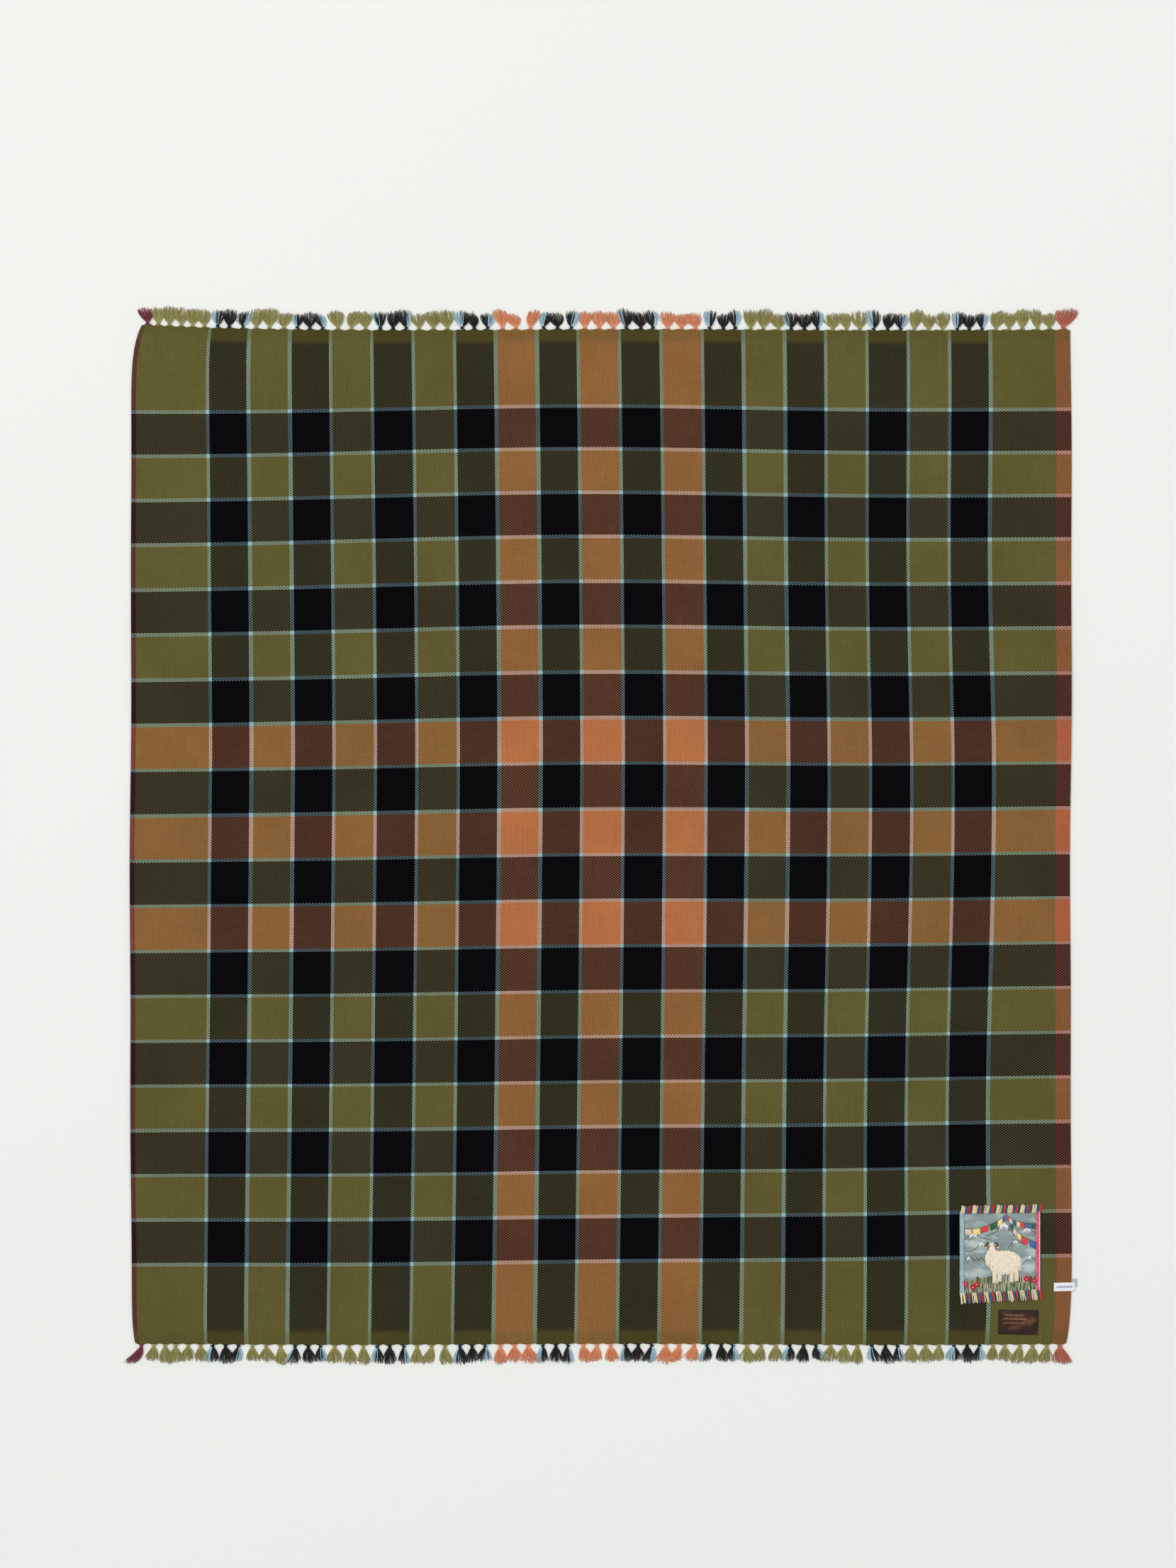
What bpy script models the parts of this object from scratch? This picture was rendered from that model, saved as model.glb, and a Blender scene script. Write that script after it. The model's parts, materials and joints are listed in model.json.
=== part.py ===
"""Check throw with a knotted fringe at both ends, an embroidered patch and two labels.

+X runs across the blanket to the right, +Y up its length, +Z out of its face. The floor is z = 0.
The fold line is y = 0. All sizes are in metres.
"""

import math

import bmesh
import bpy
from mathutils import Vector

# cloth
CLOTH_WIDTH = 1.400
CLOTH_LENGTH = 1.508
CLOTH_THICK = 0.0024
CORNER_RADIUS = 0.008
GAP = 0.0003  # between pieces that touch

# sett: coloured stripes stand a repeat apart, with black ones between them
SETT_REPEAT = 0.1230
COLOUR_STRIPE = 0.0633
SETT_SHIFT = 0.0026  # the middle stripe stands this far right of the cloth's middle
MOST_REPEATS = 5  # each side of the middle stripe; the two edge stripes take up the rest
LEAST_EDGE_STRIPE = 0.030
RUST_REPEATS = 1  # rust stripes each side of the middle one

# fringe
TASSEL_LENGTH = 0.027
TASSEL_PITCH = 0.0200
TASSEL_THICK = 0.0030
TASSEL_FILL = 0.86  # the flare's share of its pitch
KNOT_HALF_WIDTH = 0.0023
# a tassel's outline from knot to tip: shares of its flare and of its height above the knot
TASSEL_SHARES = ((0.0, 0.12), (0.34, 0.30), (0.88, 0.62), (1.0, 0.82), (0.52, 1.0))
EDGE_CORD = 0.0020  # depth of the twisted yarns along the last weft
GROUP_GAP = 0.0006

# leather label, measured from the cloth's lower right corner
LEATHER_WIDTH = 0.0602
LEATHER_HEIGHT = 0.0369
LEATHER_THICK = 0.0008
LEATHER_RADIUS = 0.0015
LEATHER_FROM_RIGHT = 0.0480
LEATHER_FROM_BOTTOM = 0.0113

# patch
PATCH_WIDTH = 0.1204
PATCH_HEIGHT = 0.1235
PATCH_THICK = 0.0006
PATCH_FROM_RIGHT = 0.0459
PATCH_TO_LEATHER = 0.0060
PATCH_FRINGE = 0.0148
PATCH_YARN_PITCH = 0.0075
PATCH_YARN_THICK = 0.0016
LEFT_RIBBON = 0.0084
RIGHT_RIBBON = 0.0053
RIBBON_THICK = 0.0006
MOUNTAIN_THICK = 0.0004
STITCH_THICK = 0.0008
WOOL_THICK = 0.0018
PATCH_YARN_FILL = 0.84  # a fringe yarn's share of its pitch
PATCH_YARN_ROOT = 0.12  # the uncut part of the fringe, as a share of its length
BUNTING_STRING = 0.0012
BUNTING_SPLIT = 0.0020  # how far from the peak the strings part
STRING_STEP = 0.0010
FLAG_WIDTH = 0.0086
FLAG_DROP = 0.0088
FLAG_FILL = 0.86  # a flag's most share of its room on the string
LEFT_FLAGS, LEFT_SAG = 5, 0.004
RIGHT_FLAGS, RIGHT_SAG = 4, 0.003
LOW_FLAGS = 3
BUNTING_LEFT, BUNTING_RIGHT, BUNTING_LOW = 0.79, 0.80, 0.60  # heights as shares of the patch
BUNTING_PEAK = (0.57, 0.95)
GRASS_HEIGHT = 0.0190
GRASS_WAVE = 0.0024
GRASS_CLUMPS = 9
MOUNTAIN_FOOT = 0.0040  # above the grass
SHEEP_SIZE = 0.50  # of the scene's width and the patch's height
SHEEP_FROM_LEFT = 0.25

# edge label, folded round the right selvedge
EDGE_LABEL_HEIGHT = 0.0127
EDGE_LABEL_INSET = 0.0254
EDGE_LABEL_OVERHANG = 0.0058
EDGE_LABEL_THICK = 0.0006
EDGE_LABEL_FROM_BOTTOM = 0.0767

# where things lie
HALF_LENGTH = CLOTH_LENGTH / 2
CLOTH_X = -EDGE_LABEL_OVERHANG / 2  # keeps the whole object centred on x = 0
CLOTH_RIGHT = CLOTH_X + CLOTH_WIDTH / 2
CLOTH_LEFT = CLOTH_X - CLOTH_WIDTH / 2
ON_CLOTH = CLOTH_THICK + GAP
LEATHER_TOP = ON_CLOTH + LEATHER_THICK
FRINGE_AXIS_Z = (LEATHER_TOP + GAP + TASSEL_THICK) / 2  # a tassel turned right back clears the label
FOLD_AXIS_Z = 2 * FRINGE_AXIS_Z + GAP / 2  # two turned-back fringes clear each other in the fold
ON_PATCH = ON_CLOTH + PATCH_THICK + GAP
ON_MOUNTAINS = ON_PATCH + MOUNTAIN_THICK + GAP

LEATHER_Y = -HALF_LENGTH + LEATHER_FROM_BOTTOM
PATCH_Y = LEATHER_Y + LEATHER_HEIGHT + PATCH_TO_LEATHER + PATCH_FRINGE + GAP
PATCH_X = CLOTH_RIGHT - PATCH_FROM_RIGHT - PATCH_WIDTH
SCENE_WIDTH = PATCH_WIDTH - LEFT_RIBBON - RIGHT_RIBBON - 2 * GAP

COLOURS = {
    "check_cloth": (0.078, 0.060, 0.028),
    "olive_yarn": (0.168, 0.133, 0.052),
    "black_yarn": (0.008, 0.007, 0.007),
    "rust_yarn": (0.480, 0.180, 0.078),
    "terracotta_yarn": (0.270, 0.075, 0.036),
    "burgundy_yarn": (0.105, 0.022, 0.026),
    "patch_satin": (0.246, 0.330, 0.314),
    "teal_ribbon": (0.330, 0.448, 0.468),
    "pink_ribbon": (0.680, 0.080, 0.165),
    "patch_yarns": (0.440, 0.250, 0.130),
    "brown_thread": (0.150, 0.100, 0.080),
    "flag_thread": (0.640, 0.180, 0.070),
    "cream_wool": (0.790, 0.680, 0.530),
    "grass_thread": (0.160, 0.230, 0.085),
    "label_leather": (0.060, 0.030, 0.016),
    "white_tape": (0.800, 0.790, 0.780),
}


def clear_scene():
    for item in list(bpy.data.objects):
        bpy.data.objects.remove(item, do_unlink=True)


def make_material(name):
    material = bpy.data.materials.new(name)
    material.use_nodes = True
    shader = material.node_tree.nodes["Principled BSDF"]
    shader.inputs["Base Color"].default_value = (*COLOURS[name], 1.0)
    shader.inputs["Roughness"].default_value = 0.45 if name in ("patch_satin", "label_leather") else 0.9
    shader.inputs["Metallic"].default_value = 0.0
    return material


def add_empty(name, place, parent=None):
    empty = bpy.data.objects.new(name, None)
    bpy.context.collection.objects.link(empty)
    empty.parent = parent
    empty.location = Vector(place)
    return empty


def extrude(name, outline, depth, place, hinge, material, across=False):
    """A solid with the outline as its base, extruded along +Z, or along +Y when it lies across."""
    bm = bmesh.new()
    turned = [(x, 0.0, y) if across else (x, y, 0.0) for x, y in outline]
    base = bm.faces.new([bm.verts.new(point) for point in turned])
    grown = bmesh.ops.extrude_face_region(bm, geom=[base])
    moved = [item for item in grown["geom"] if isinstance(item, bmesh.types.BMVert)]
    bmesh.ops.translate(bm, verts=moved, vec=(0.0, depth, 0.0) if across else (0.0, 0.0, depth))
    bmesh.ops.recalc_face_normals(bm, faces=bm.faces)
    mesh = bpy.data.meshes.new(name)
    bm.to_mesh(mesh)
    bm.free()
    mesh.materials.append(material)
    body = bpy.data.objects.new(name, mesh)
    bpy.context.collection.objects.link(body)
    body.parent = hinge
    body.location = Vector(place) - (hinge.matrix_world.translation if hinge else Vector())
    return body


def rounded_rectangle(width, height, radii, steps=4):
    """Corners in turn from the lower left, each with its own radius. A radius of 0 is a sharp corner."""
    turns = ((0, 0, 180), (width, 0, 270), (width, height, 0), (0, height, 90))
    points = []
    for (x, y, start), radius in zip(turns, radii):
        centre_x = x + (radius if x == 0 else -radius)
        centre_y = y + (radius if y == 0 else -radius)
        for step in range(steps + 1 if radius else 1):
            angle = math.radians(start + 90 * step / steps)
            points.append((centre_x + radius * math.cos(angle), centre_y + radius * math.sin(angle)))
    return points


def cloth_half(name, low_y, high_y, corner_radii, hinge, material):
    outline = rounded_rectangle(CLOTH_WIDTH, high_y - low_y, corner_radii)
    return extrude(name, outline, CLOTH_THICK, (CLOTH_LEFT, low_y, 0.0), hinge, material)


def stripes():
    """Each fringe group from left to right: its name, its two sides, its tassels and its yarn."""
    half = CLOTH_WIDTH / 2
    room = half - abs(SETT_SHIFT) - COLOUR_STRIPE / 2 - LEAST_EDGE_STRIPE + COLOUR_STRIPE
    repeats = min(MOST_REPEATS, int(room / SETT_REPEAT))
    bounds = []
    for repeat in range(-repeats, repeats + 1):
        middle = SETT_SHIFT + repeat * SETT_REPEAT
        bounds += [middle - COLOUR_STRIPE / 2, middle + COLOUR_STRIPE / 2]
    bounds[0] = -half
    bounds[-1] = half
    groups = []
    for number, (low, high) in enumerate(zip(bounds, bounds[1:])):
        repeat = number // 2 - repeats
        yarn = "black_yarn" if number % 2 else "olive_yarn"
        if number % 2 == 0 and abs(repeat) <= RUST_REPEATS:
            yarn = "rust_yarn"
        groups.append([f"stripe_{number + 1:02d}", low, high, yarn])
    first, last = groups[0], groups[-1]
    left = first[1] + (first[2] - first[1]) / round((first[2] - first[1]) / TASSEL_PITCH)
    right = last[2] - (last[2] - last[1]) / round((last[2] - last[1]) / TASSEL_PITCH)
    selvedges = (
        ["left_selvedge", first[1], left, "burgundy_yarn"],
        ["right_selvedge", right, last[2], "terracotta_yarn"],
    )
    first[1] = left
    last[2] = right
    return [selvedges[0], *groups, selvedges[1]]


def comb(width, count, cord, teeth):
    """A strip of the given depth with teeth on its far side. Each tooth is (half width, height) pairs."""
    points = [(0.0, 0.0), (width, 0.0), (width, cord)]
    for tooth in reversed(range(count)):
        middle = width * (tooth + 0.5) / count
        points += [(middle + half, height) for half, height in teeth]
        points += [(middle - half, height) for half, height in reversed(teeth)]
    return [*points, (0.0, cord)]


def tassel_profile(pitch):
    """Half widths of one tassel from its knot to its tip: it flares, then its ends curl in."""
    flare = pitch * TASSEL_FILL / 2
    rise = TASSEL_LENGTH - EDGE_CORD
    points = [(KNOT_HALF_WIDTH, EDGE_CORD)]
    for wide, up in TASSEL_SHARES:
        points.append((KNOT_HALF_WIDTH + (flare - KNOT_HALF_WIDTH) * wide, EDGE_CORD + rise * up))
    return points


def fringe(end, hinge, materials):
    """The tassels of one end, one body for each warp stripe. end is 1 at the top and -1 at the bottom."""
    side = "top" if end > 0 else "bottom"
    for name, low, high, yarn in stripes():
        width = high - low - GROUP_GAP
        count = max(1, round((high - low) / TASSEL_PITCH))
        outline = comb(width, count, EDGE_CORD, tassel_profile(width / count))
        outline = [(x, y * end) for x, y in outline]
        place = (CLOTH_X + low + GROUP_GAP / 2, end * (HALF_LENGTH + GAP), 0.0)
        extrude(f"fringe_{side}_{name}", outline, TASSEL_THICK, place, hinge, materials[yarn])


def garland(start, end, sag, flags):
    """The lower side of a bunting string from start to end, with its flags hanging from it."""
    points = [start]
    length = end[0] - start[0]
    for flag in range(flags):
        middle = start[0] + length * (flag + 0.5) / flags
        half = min(FLAG_WIDTH, FLAG_FILL * abs(length) / flags) / 2
        half = math.copysign(half, length)
        for x, drop in ((middle - half, 0), (middle - half, 1), (middle + half, 1), (middle + half, 0)):
            share = (x - start[0]) / length
            y = start[1] + (end[1] - start[1]) * share - 4 * sag * share * (1 - share)
            points.append((x, y - drop * FLAG_DROP))
    return [*points, end]


def bunting_outline():
    """One string rises to a peak and falls to the right, and a second one falls more steeply."""
    left_y, right_y, low_y = (share * PATCH_HEIGHT for share in (BUNTING_LEFT, BUNTING_RIGHT, BUNTING_LOW))
    peak_x, peak_y = BUNTING_PEAK[0] * SCENE_WIDTH, BUNTING_PEAK[1] * PATCH_HEIGHT
    under_peak = peak_y - BUNTING_STRING
    points = [(0.0, left_y), (peak_x, peak_y), (SCENE_WIDTH, right_y)]
    start, end = (SCENE_WIDTH, right_y - BUNTING_STRING), (peak_x + BUNTING_SPLIT, under_peak)
    points += garland(start, end, RIGHT_SAG, RIGHT_FLAGS)
    points += [(SCENE_WIDTH, low_y), (SCENE_WIDTH, low_y - BUNTING_STRING)]
    start, end = (SCENE_WIDTH - STRING_STEP, low_y - BUNTING_STRING), (peak_x, under_peak - STRING_STEP)
    points += garland(start, end, 0.0, LOW_FLAGS)[1:]
    start, end = (peak_x - BUNTING_SPLIT, under_peak), (0.0, left_y - BUNTING_STRING)
    points += garland(start, end, LEFT_SAG, LEFT_FLAGS)
    return points


def mountain_outline():
    """A ridge of five peaks across the scene, as shares of its width and height."""
    ridge = ((1.0, 0.52), (0.93, 0.46), (0.84, 0.63), (0.74, 0.50), (0.56, 0.76), (0.42, 0.56))
    ridge += ((0.26, 0.66), (0.15, 0.50), (0.07, 0.56), (0.0, 0.48))
    foot = GRASS_HEIGHT + MOUNTAIN_FOOT
    base = [(0.0, foot), (SCENE_WIDTH, foot)]
    return base + [(x * SCENE_WIDTH, y * PATCH_HEIGHT) for x, y in ridge]


def sheep_outline():
    """A woolly sheep that looks left: feet, chest, head with a small horn, back and tail."""
    shape = (
        (0.36, 0.0), (0.42, 0.0), (0.43, 0.20), (0.50, 0.17), (0.66, 0.18), (0.70, 0.0), (0.77, 0.0),
        (0.80, 0.20), (0.91, 0.32), (0.97, 0.50), (0.96, 0.66), (0.90, 0.78), (0.76, 0.84), (0.58, 0.83),
        (0.44, 0.85), (0.36, 0.93), (0.27, 0.98), (0.20, 0.94), (0.14, 0.90), (0.05, 0.74), (0.04, 0.66),
        (0.10, 0.63), (0.20, 0.66), (0.22, 0.52), (0.25, 0.36), (0.33, 0.22),
    )
    width, height = SHEEP_SIZE * SCENE_WIDTH, SHEEP_SIZE * PATCH_HEIGHT
    return [(x * width, y * height) for x, y in shape]


def meadow_outline():
    """A band of grass clumps, their tops on a wave."""
    steps = 4 * GRASS_CLUMPS
    crest = []
    for step in range(steps + 1):
        rise = GRASS_HEIGHT - GRASS_WAVE * (1 - math.cos(2 * math.pi * GRASS_CLUMPS * step / steps)) / 2
        crest.append((SCENE_WIDTH * (1 - step / steps), rise))
    return [(0.0, 0.0), (SCENE_WIDTH, 0.0), *crest]


def patch(materials):
    scene_x = PATCH_X + LEFT_RIBBON + GAP
    ground = rounded_rectangle(PATCH_WIDTH, PATCH_HEIGHT, (0, 0, 0, 0))
    ground_place = (PATCH_X, PATCH_Y, ON_CLOTH)
    extrude("patch_ground", ground, PATCH_THICK, ground_place, None, materials["patch_satin"])
    right_x = PATCH_X + PATCH_WIDTH - RIGHT_RIBBON
    for name, x, width, finish in (
        ("patch_ribbon_left", PATCH_X, LEFT_RIBBON, "teal_ribbon"),
        ("patch_ribbon_right", right_x, RIGHT_RIBBON, "pink_ribbon"),
    ):
        ribbon = rounded_rectangle(width, PATCH_HEIGHT, (0, 0, 0, 0))
        extrude(name, ribbon, RIBBON_THICK, (x, PATCH_Y, ON_PATCH), None, materials[finish])
    yarns = max(1, round(PATCH_WIDTH / PATCH_YARN_PITCH))
    half = PATCH_YARN_FILL / 2 * PATCH_WIDTH / yarns
    root = PATCH_YARN_ROOT * PATCH_FRINGE
    for name, y, end in (
        ("patch_fringe_top", PATCH_Y + PATCH_HEIGHT + GAP, 1),
        ("patch_fringe_bottom", PATCH_Y - GAP, -1),
    ):
        outline = comb(PATCH_WIDTH, yarns, root, [(half, root), (half, PATCH_FRINGE)])
        outline = [(x, height * end) for x, height in outline]
        extrude(name, outline, PATCH_YARN_THICK, (PATCH_X, y, ON_CLOTH), None, materials["patch_yarns"])
    low_place = (scene_x, PATCH_Y, ON_PATCH)
    high_place = (scene_x, PATCH_Y, ON_MOUNTAINS)
    sheep_x = scene_x + SHEEP_FROM_LEFT * SCENE_WIDTH
    sheep_place = (sheep_x, PATCH_Y + GRASS_HEIGHT + GAP, ON_MOUNTAINS)
    for name, outline, depth, place, finish in (
        ("patch_mountains", mountain_outline(), MOUNTAIN_THICK, low_place, "brown_thread"),
        ("patch_bunting", bunting_outline(), STITCH_THICK, high_place, "flag_thread"),
        ("patch_animal", sheep_outline(), WOOL_THICK, sheep_place, "cream_wool"),
        ("patch_meadow", meadow_outline(), STITCH_THICK, low_place, "grass_thread"),
    ):
        extrude(name, outline, depth, place, None, materials[finish])


def labels(materials):
    leather = rounded_rectangle(LEATHER_WIDTH, LEATHER_HEIGHT, (LEATHER_RADIUS,) * 4)
    leather_x = CLOTH_RIGHT - LEATHER_FROM_RIGHT - LEATHER_WIDTH
    leather_place = (leather_x, LEATHER_Y, ON_CLOTH)
    extrude("leather_label", leather, LEATHER_THICK, leather_place, None, materials["label_leather"])

    # the tape's section: a leaf on the cloth, a round nose past the selvedge and a short return
    top = ON_CLOTH + EDGE_LABEL_THICK
    outer = (top - GAP) / 2
    inner = outer - EDGE_LABEL_THICK
    nose_x = EDGE_LABEL_OVERHANG - outer
    arc = [math.radians(90 - 180 * step / 8) for step in range(9)]
    section = [(-EDGE_LABEL_INSET, top)]
    section += [(nose_x + outer * math.cos(a), GAP + outer + outer * math.sin(a)) for a in arc]
    section += [(GAP, GAP), (GAP, GAP + EDGE_LABEL_THICK)]
    section += [(nose_x + inner * math.cos(a), GAP + outer + inner * math.sin(a)) for a in reversed(arc)]
    section += [(-EDGE_LABEL_INSET, ON_CLOTH)]
    place = (CLOTH_RIGHT, -HALF_LENGTH + EDGE_LABEL_FROM_BOTTOM, 0.0)
    extrude("edge_label", section, EDGE_LABEL_HEIGHT, place, None, materials["white_tape"], across=True)


def main():
    clear_scene()
    materials = {name: make_material(name) for name in COLOURS}
    fold = add_empty("fold_axis", (0.0, 0.0, FOLD_AXIS_Z))
    top_place = (0.0, HALF_LENGTH, FRINGE_AXIS_Z - FOLD_AXIS_Z)
    top_swing = add_empty("fringe_top_axis", top_place, fold)
    bottom_swing = add_empty("fringe_bottom_axis", (0.0, -HALF_LENGTH, FRINGE_AXIS_Z))
    bpy.context.view_layer.update()
    lower_radii = (CORNER_RADIUS, CORNER_RADIUS, 0, 0)
    upper_radii = (0, 0, CORNER_RADIUS, CORNER_RADIUS)
    cloth_half("cloth_lower", -HALF_LENGTH, -GAP, lower_radii, None, materials["check_cloth"])
    cloth_half("cloth_upper", GAP, HALF_LENGTH, upper_radii, fold, materials["check_cloth"])
    fringe(1, top_swing, materials)
    fringe(-1, bottom_swing, materials)
    patch(materials)
    labels(materials)


main()
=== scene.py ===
import json
import math
import random

import bmesh
import bpy
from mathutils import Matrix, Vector, noise


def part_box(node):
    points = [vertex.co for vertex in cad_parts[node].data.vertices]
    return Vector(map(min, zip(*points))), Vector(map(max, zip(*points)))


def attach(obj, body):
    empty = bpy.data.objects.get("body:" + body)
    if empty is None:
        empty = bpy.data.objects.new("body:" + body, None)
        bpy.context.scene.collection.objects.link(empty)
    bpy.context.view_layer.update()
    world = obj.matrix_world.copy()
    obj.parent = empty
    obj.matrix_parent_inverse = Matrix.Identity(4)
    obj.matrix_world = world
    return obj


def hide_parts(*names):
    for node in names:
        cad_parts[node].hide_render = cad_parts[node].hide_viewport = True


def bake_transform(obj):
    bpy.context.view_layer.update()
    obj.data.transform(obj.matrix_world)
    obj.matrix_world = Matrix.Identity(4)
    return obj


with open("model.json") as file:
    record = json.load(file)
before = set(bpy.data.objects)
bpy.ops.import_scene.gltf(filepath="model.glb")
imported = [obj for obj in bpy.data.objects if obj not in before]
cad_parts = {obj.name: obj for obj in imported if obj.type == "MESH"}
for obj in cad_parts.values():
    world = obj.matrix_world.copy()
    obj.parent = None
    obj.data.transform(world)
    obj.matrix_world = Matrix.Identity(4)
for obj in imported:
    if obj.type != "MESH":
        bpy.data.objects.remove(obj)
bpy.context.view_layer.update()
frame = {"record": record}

mm = 0.001


def corners(*nodes):
    # lowest and highest corner of several frame nodes together
    boxes = [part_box(node) for node in nodes]
    low = Vector(min(box[0][axis] for box in boxes) for axis in range(3))
    high = Vector(max(box[1][axis] for box in boxes) for axis in range(3))
    return low, high


def paint(red, green, blue):
    # 0 to 255 screen values as the linear colour that shaders read
    linear = [c / 3294.6 if c <= 10 else ((c / 255 + 0.055) / 1.055) ** 2.4 for c in (red, green, blue)]
    return (*linear, 1.0)


def mixPaint(first, second, share):
    return tuple(a + (b - a) * share for a, b in zip(first, second))


def easeIn(value, low, high):
    # 0 below low, 1 above high and smooth between
    share = min(1.0, max(0.0, (value - low) / (high - low)))
    return share * share * (3 - 2 * share)


# ---- shader building

def setInputs(node, tree, values):
    for name, value in values.items():
        if isinstance(value, bpy.types.NodeSocket):
            tree.links.new(value, node.inputs[name])
        else:
            node.inputs[name].default_value = value
    return node


def addMath(tree, operation, first, second=0.0):
    node = tree.nodes.new("ShaderNodeMath")
    node.operation = operation
    setInputs(node, tree, {0: first, 1: second})
    return node.outputs[0]


def plus(tree, first, second):
    return addMath(tree, "ADD", first, second)


def minus(tree, first, second):
    return addMath(tree, "SUBTRACT", first, second)


def times(tree, first, second):
    return addMath(tree, "MULTIPLY", first, second)


def splitAxes(tree, place):
    node = tree.nodes.new("ShaderNodeSeparateXYZ")
    tree.links.new(place, node.inputs[0])
    return node.outputs


def addMix(tree, share, first, second, blend="MIX"):
    node = tree.nodes.new("ShaderNodeMix")
    node.data_type = "RGBA"
    node.blend_type = blend
    setInputs(node, tree, {0: share, 6: first, 7: second})
    return node.outputs[2]


def addGrey(tree, value):
    node = tree.nodes.new("ShaderNodeCombineColor")
    setInputs(node, tree, {0: value, 1: value, 2: value})
    return node.outputs[0]


def addNoise(tree, place, scale, detail=2.0, rough=0.5):
    node = tree.nodes.new("ShaderNodeTexNoise")
    setInputs(node, tree, {"Vector": place, "Scale": scale, "Detail": detail, "Roughness": rough})
    return node.outputs["Fac"]


def addScale(tree, place, factors):
    node = tree.nodes.new("ShaderNodeVectorMath")
    node.operation = "MULTIPLY"
    setInputs(node, tree, {0: place, 1: factors})
    return node.outputs[0]


def addRamp(tree, value, low, high, lowOut, highOut):
    node = tree.nodes.new("ShaderNodeMapRange")
    node.interpolation_type = "SMOOTHSTEP"
    setInputs(node, tree, {0: value, 1: low, 2: high, 3: lowOut, 4: highOut})
    return node.outputs[0]


def newGroup(name, inputs, outputs):
    tree = bpy.data.node_groups.new(name, "ShaderNodeTree")
    for label, kind in inputs:
        tree.interface.new_socket(name=label, in_out="INPUT", socket_type=kind)
    for label, kind in outputs:
        tree.interface.new_socket(name=label, in_out="OUTPUT", socket_type=kind)
    return tree, tree.nodes.new("NodeGroupInput").outputs, tree.nodes.new("NodeGroupOutput").inputs


def useGroup(tree, group, values):
    node = tree.nodes.new("ShaderNodeGroup")
    node.node_tree = group
    return setInputs(node, tree, values).outputs


def startMaterial(name, values):
    # a material with one Principled shader, whose plain numbers sit on its own sockets
    material = bpy.data.materials.new(name)
    material.use_nodes = True
    tree = material.node_tree
    shader = tree.nodes["Principled BSDF"]
    setInputs(shader, tree, values)
    return material, tree, shader


def addBump(tree, shader, height, strength, distance):
    bump = tree.nodes.new("ShaderNodeBump")
    setInputs(bump, tree, {"Strength": strength, "Distance": distance, "Height": height})
    tree.links.new(bump.outputs["Normal"], shader.inputs["Normal"])


def objectPlace(tree):
    return tree.nodes.new("ShaderNodeTexCoord").outputs["Object"]


def ownMap(tree, name):
    node = tree.nodes.new("ShaderNodeUVMap")
    node.uv_map = name
    return node.outputs["UV"]


# ---- dyes and weave

dyes = {
    "olive": paint(104, 97, 52),
    "black": paint(7, 6, 9),
    "rust": paint(196, 119, 73),
    "blue": paint(154, 194, 204),
    "burgundy": paint(80, 35, 50),
    "terracotta": paint(173, 92, 66),
}

sett = {
    "warpRepeat": 123.0 * mm,
    "warpStripe": 61.6 * mm,
    "warpMiddle": 2.6 * mm,
    "weftRepeat": 133.1 * mm,
    "weftStripe": 66.4 * mm,
    "weftMiddle": -2.6 * mm,
    "line": 5.2 * mm,
    "sideRepeats": 5,
    "warpPitch": 1.21 * mm,
    "weftPitch": 0.925 * mm,
    "burgundySelvedge": 7.4 * mm,
    "terracottaSelvedge": 22.0 * mm,
    "heading": 19.0 * mm,
    "beat": 0.32,
}

weave = {
    "yarnRound": 3.4,
    "warpRise": (0.50, 0.20),  # how far the ridge lifts a float, and where it starts
    "weftRise": (0.47, 0.29),
    "depth": (0.55, 1.42),  # light in the valleys and on the ridges
    "evenness": 1.4,
    "leastLight": 0.31,
    "greying": 0.22,
    "streakLength": 22.0,
    "streak": 0.55,
    "hairScale": 900.0,
    "hair": 0.7,
}


def buildStripeGroup():
    # colour of one yarn from its distance to the middle of the sett
    tree, given, out = newGroup(
        "stripeColour",
        [(n, "NodeSocketFloat") for n in ("Place", "Repeat", "Stripe", "Line")]
        + [(n, "NodeSocketColor") for n in ("Olive", "Black", "Rust", "Blue")],
        [("Color", "NodeSocketColor")],
    )
    count = sett["sideRepeats"]
    number = addMath(tree, "ROUND", addMath(tree, "DIVIDE", given["Place"], given["Repeat"]))
    number = addMath(tree, "MINIMUM", addMath(tree, "MAXIMUM", number, -count), count)
    middle = times(tree, number, given["Repeat"])
    off = addMath(tree, "ABSOLUTE", minus(tree, given["Place"], middle))
    half = times(tree, given["Stripe"], 0.5)
    reach = addMath(tree, "ABSOLUTE", given["Place"])
    inside = addMath(tree, "LESS_THAN", reach, times(tree, given["Repeat"], count))
    isBlack = times(tree, addMath(tree, "GREATER_THAN", off, half), inside)
    isRust = addMath(tree, "LESS_THAN", addMath(tree, "ABSOLUTE", number), 1.5)
    toLine = addMath(tree, "ABSOLUTE", minus(tree, off, half))
    isLine = addMath(tree, "LESS_THAN", toLine, times(tree, given["Line"], 0.5))
    isLine = times(tree, isLine, inside)
    colour = addMix(tree, isRust, given["Olive"], given["Rust"])
    colour = addMix(tree, isBlack, colour, given["Black"])
    colour = addMix(tree, isLine, colour, given["Blue"])
    tree.links.new(colour, out["Color"])
    return tree


def addYarnIndex(tree, place, pitch):
    # the yarn's number, its own middle and how round it is across
    share = addMath(tree, "DIVIDE", place, pitch)
    index = addMath(tree, "FLOOR", share)
    middle = times(tree, plus(tree, index, 0.5), pitch)
    across = minus(tree, minus(tree, share, index), 0.5)
    bend = addMath(tree, "POWER", times(tree, addMath(tree, "ABSOLUTE", across), 2.0), weave["yarnRound"])
    return share, index, middle, minus(tree, 1.0, bend)


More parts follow.
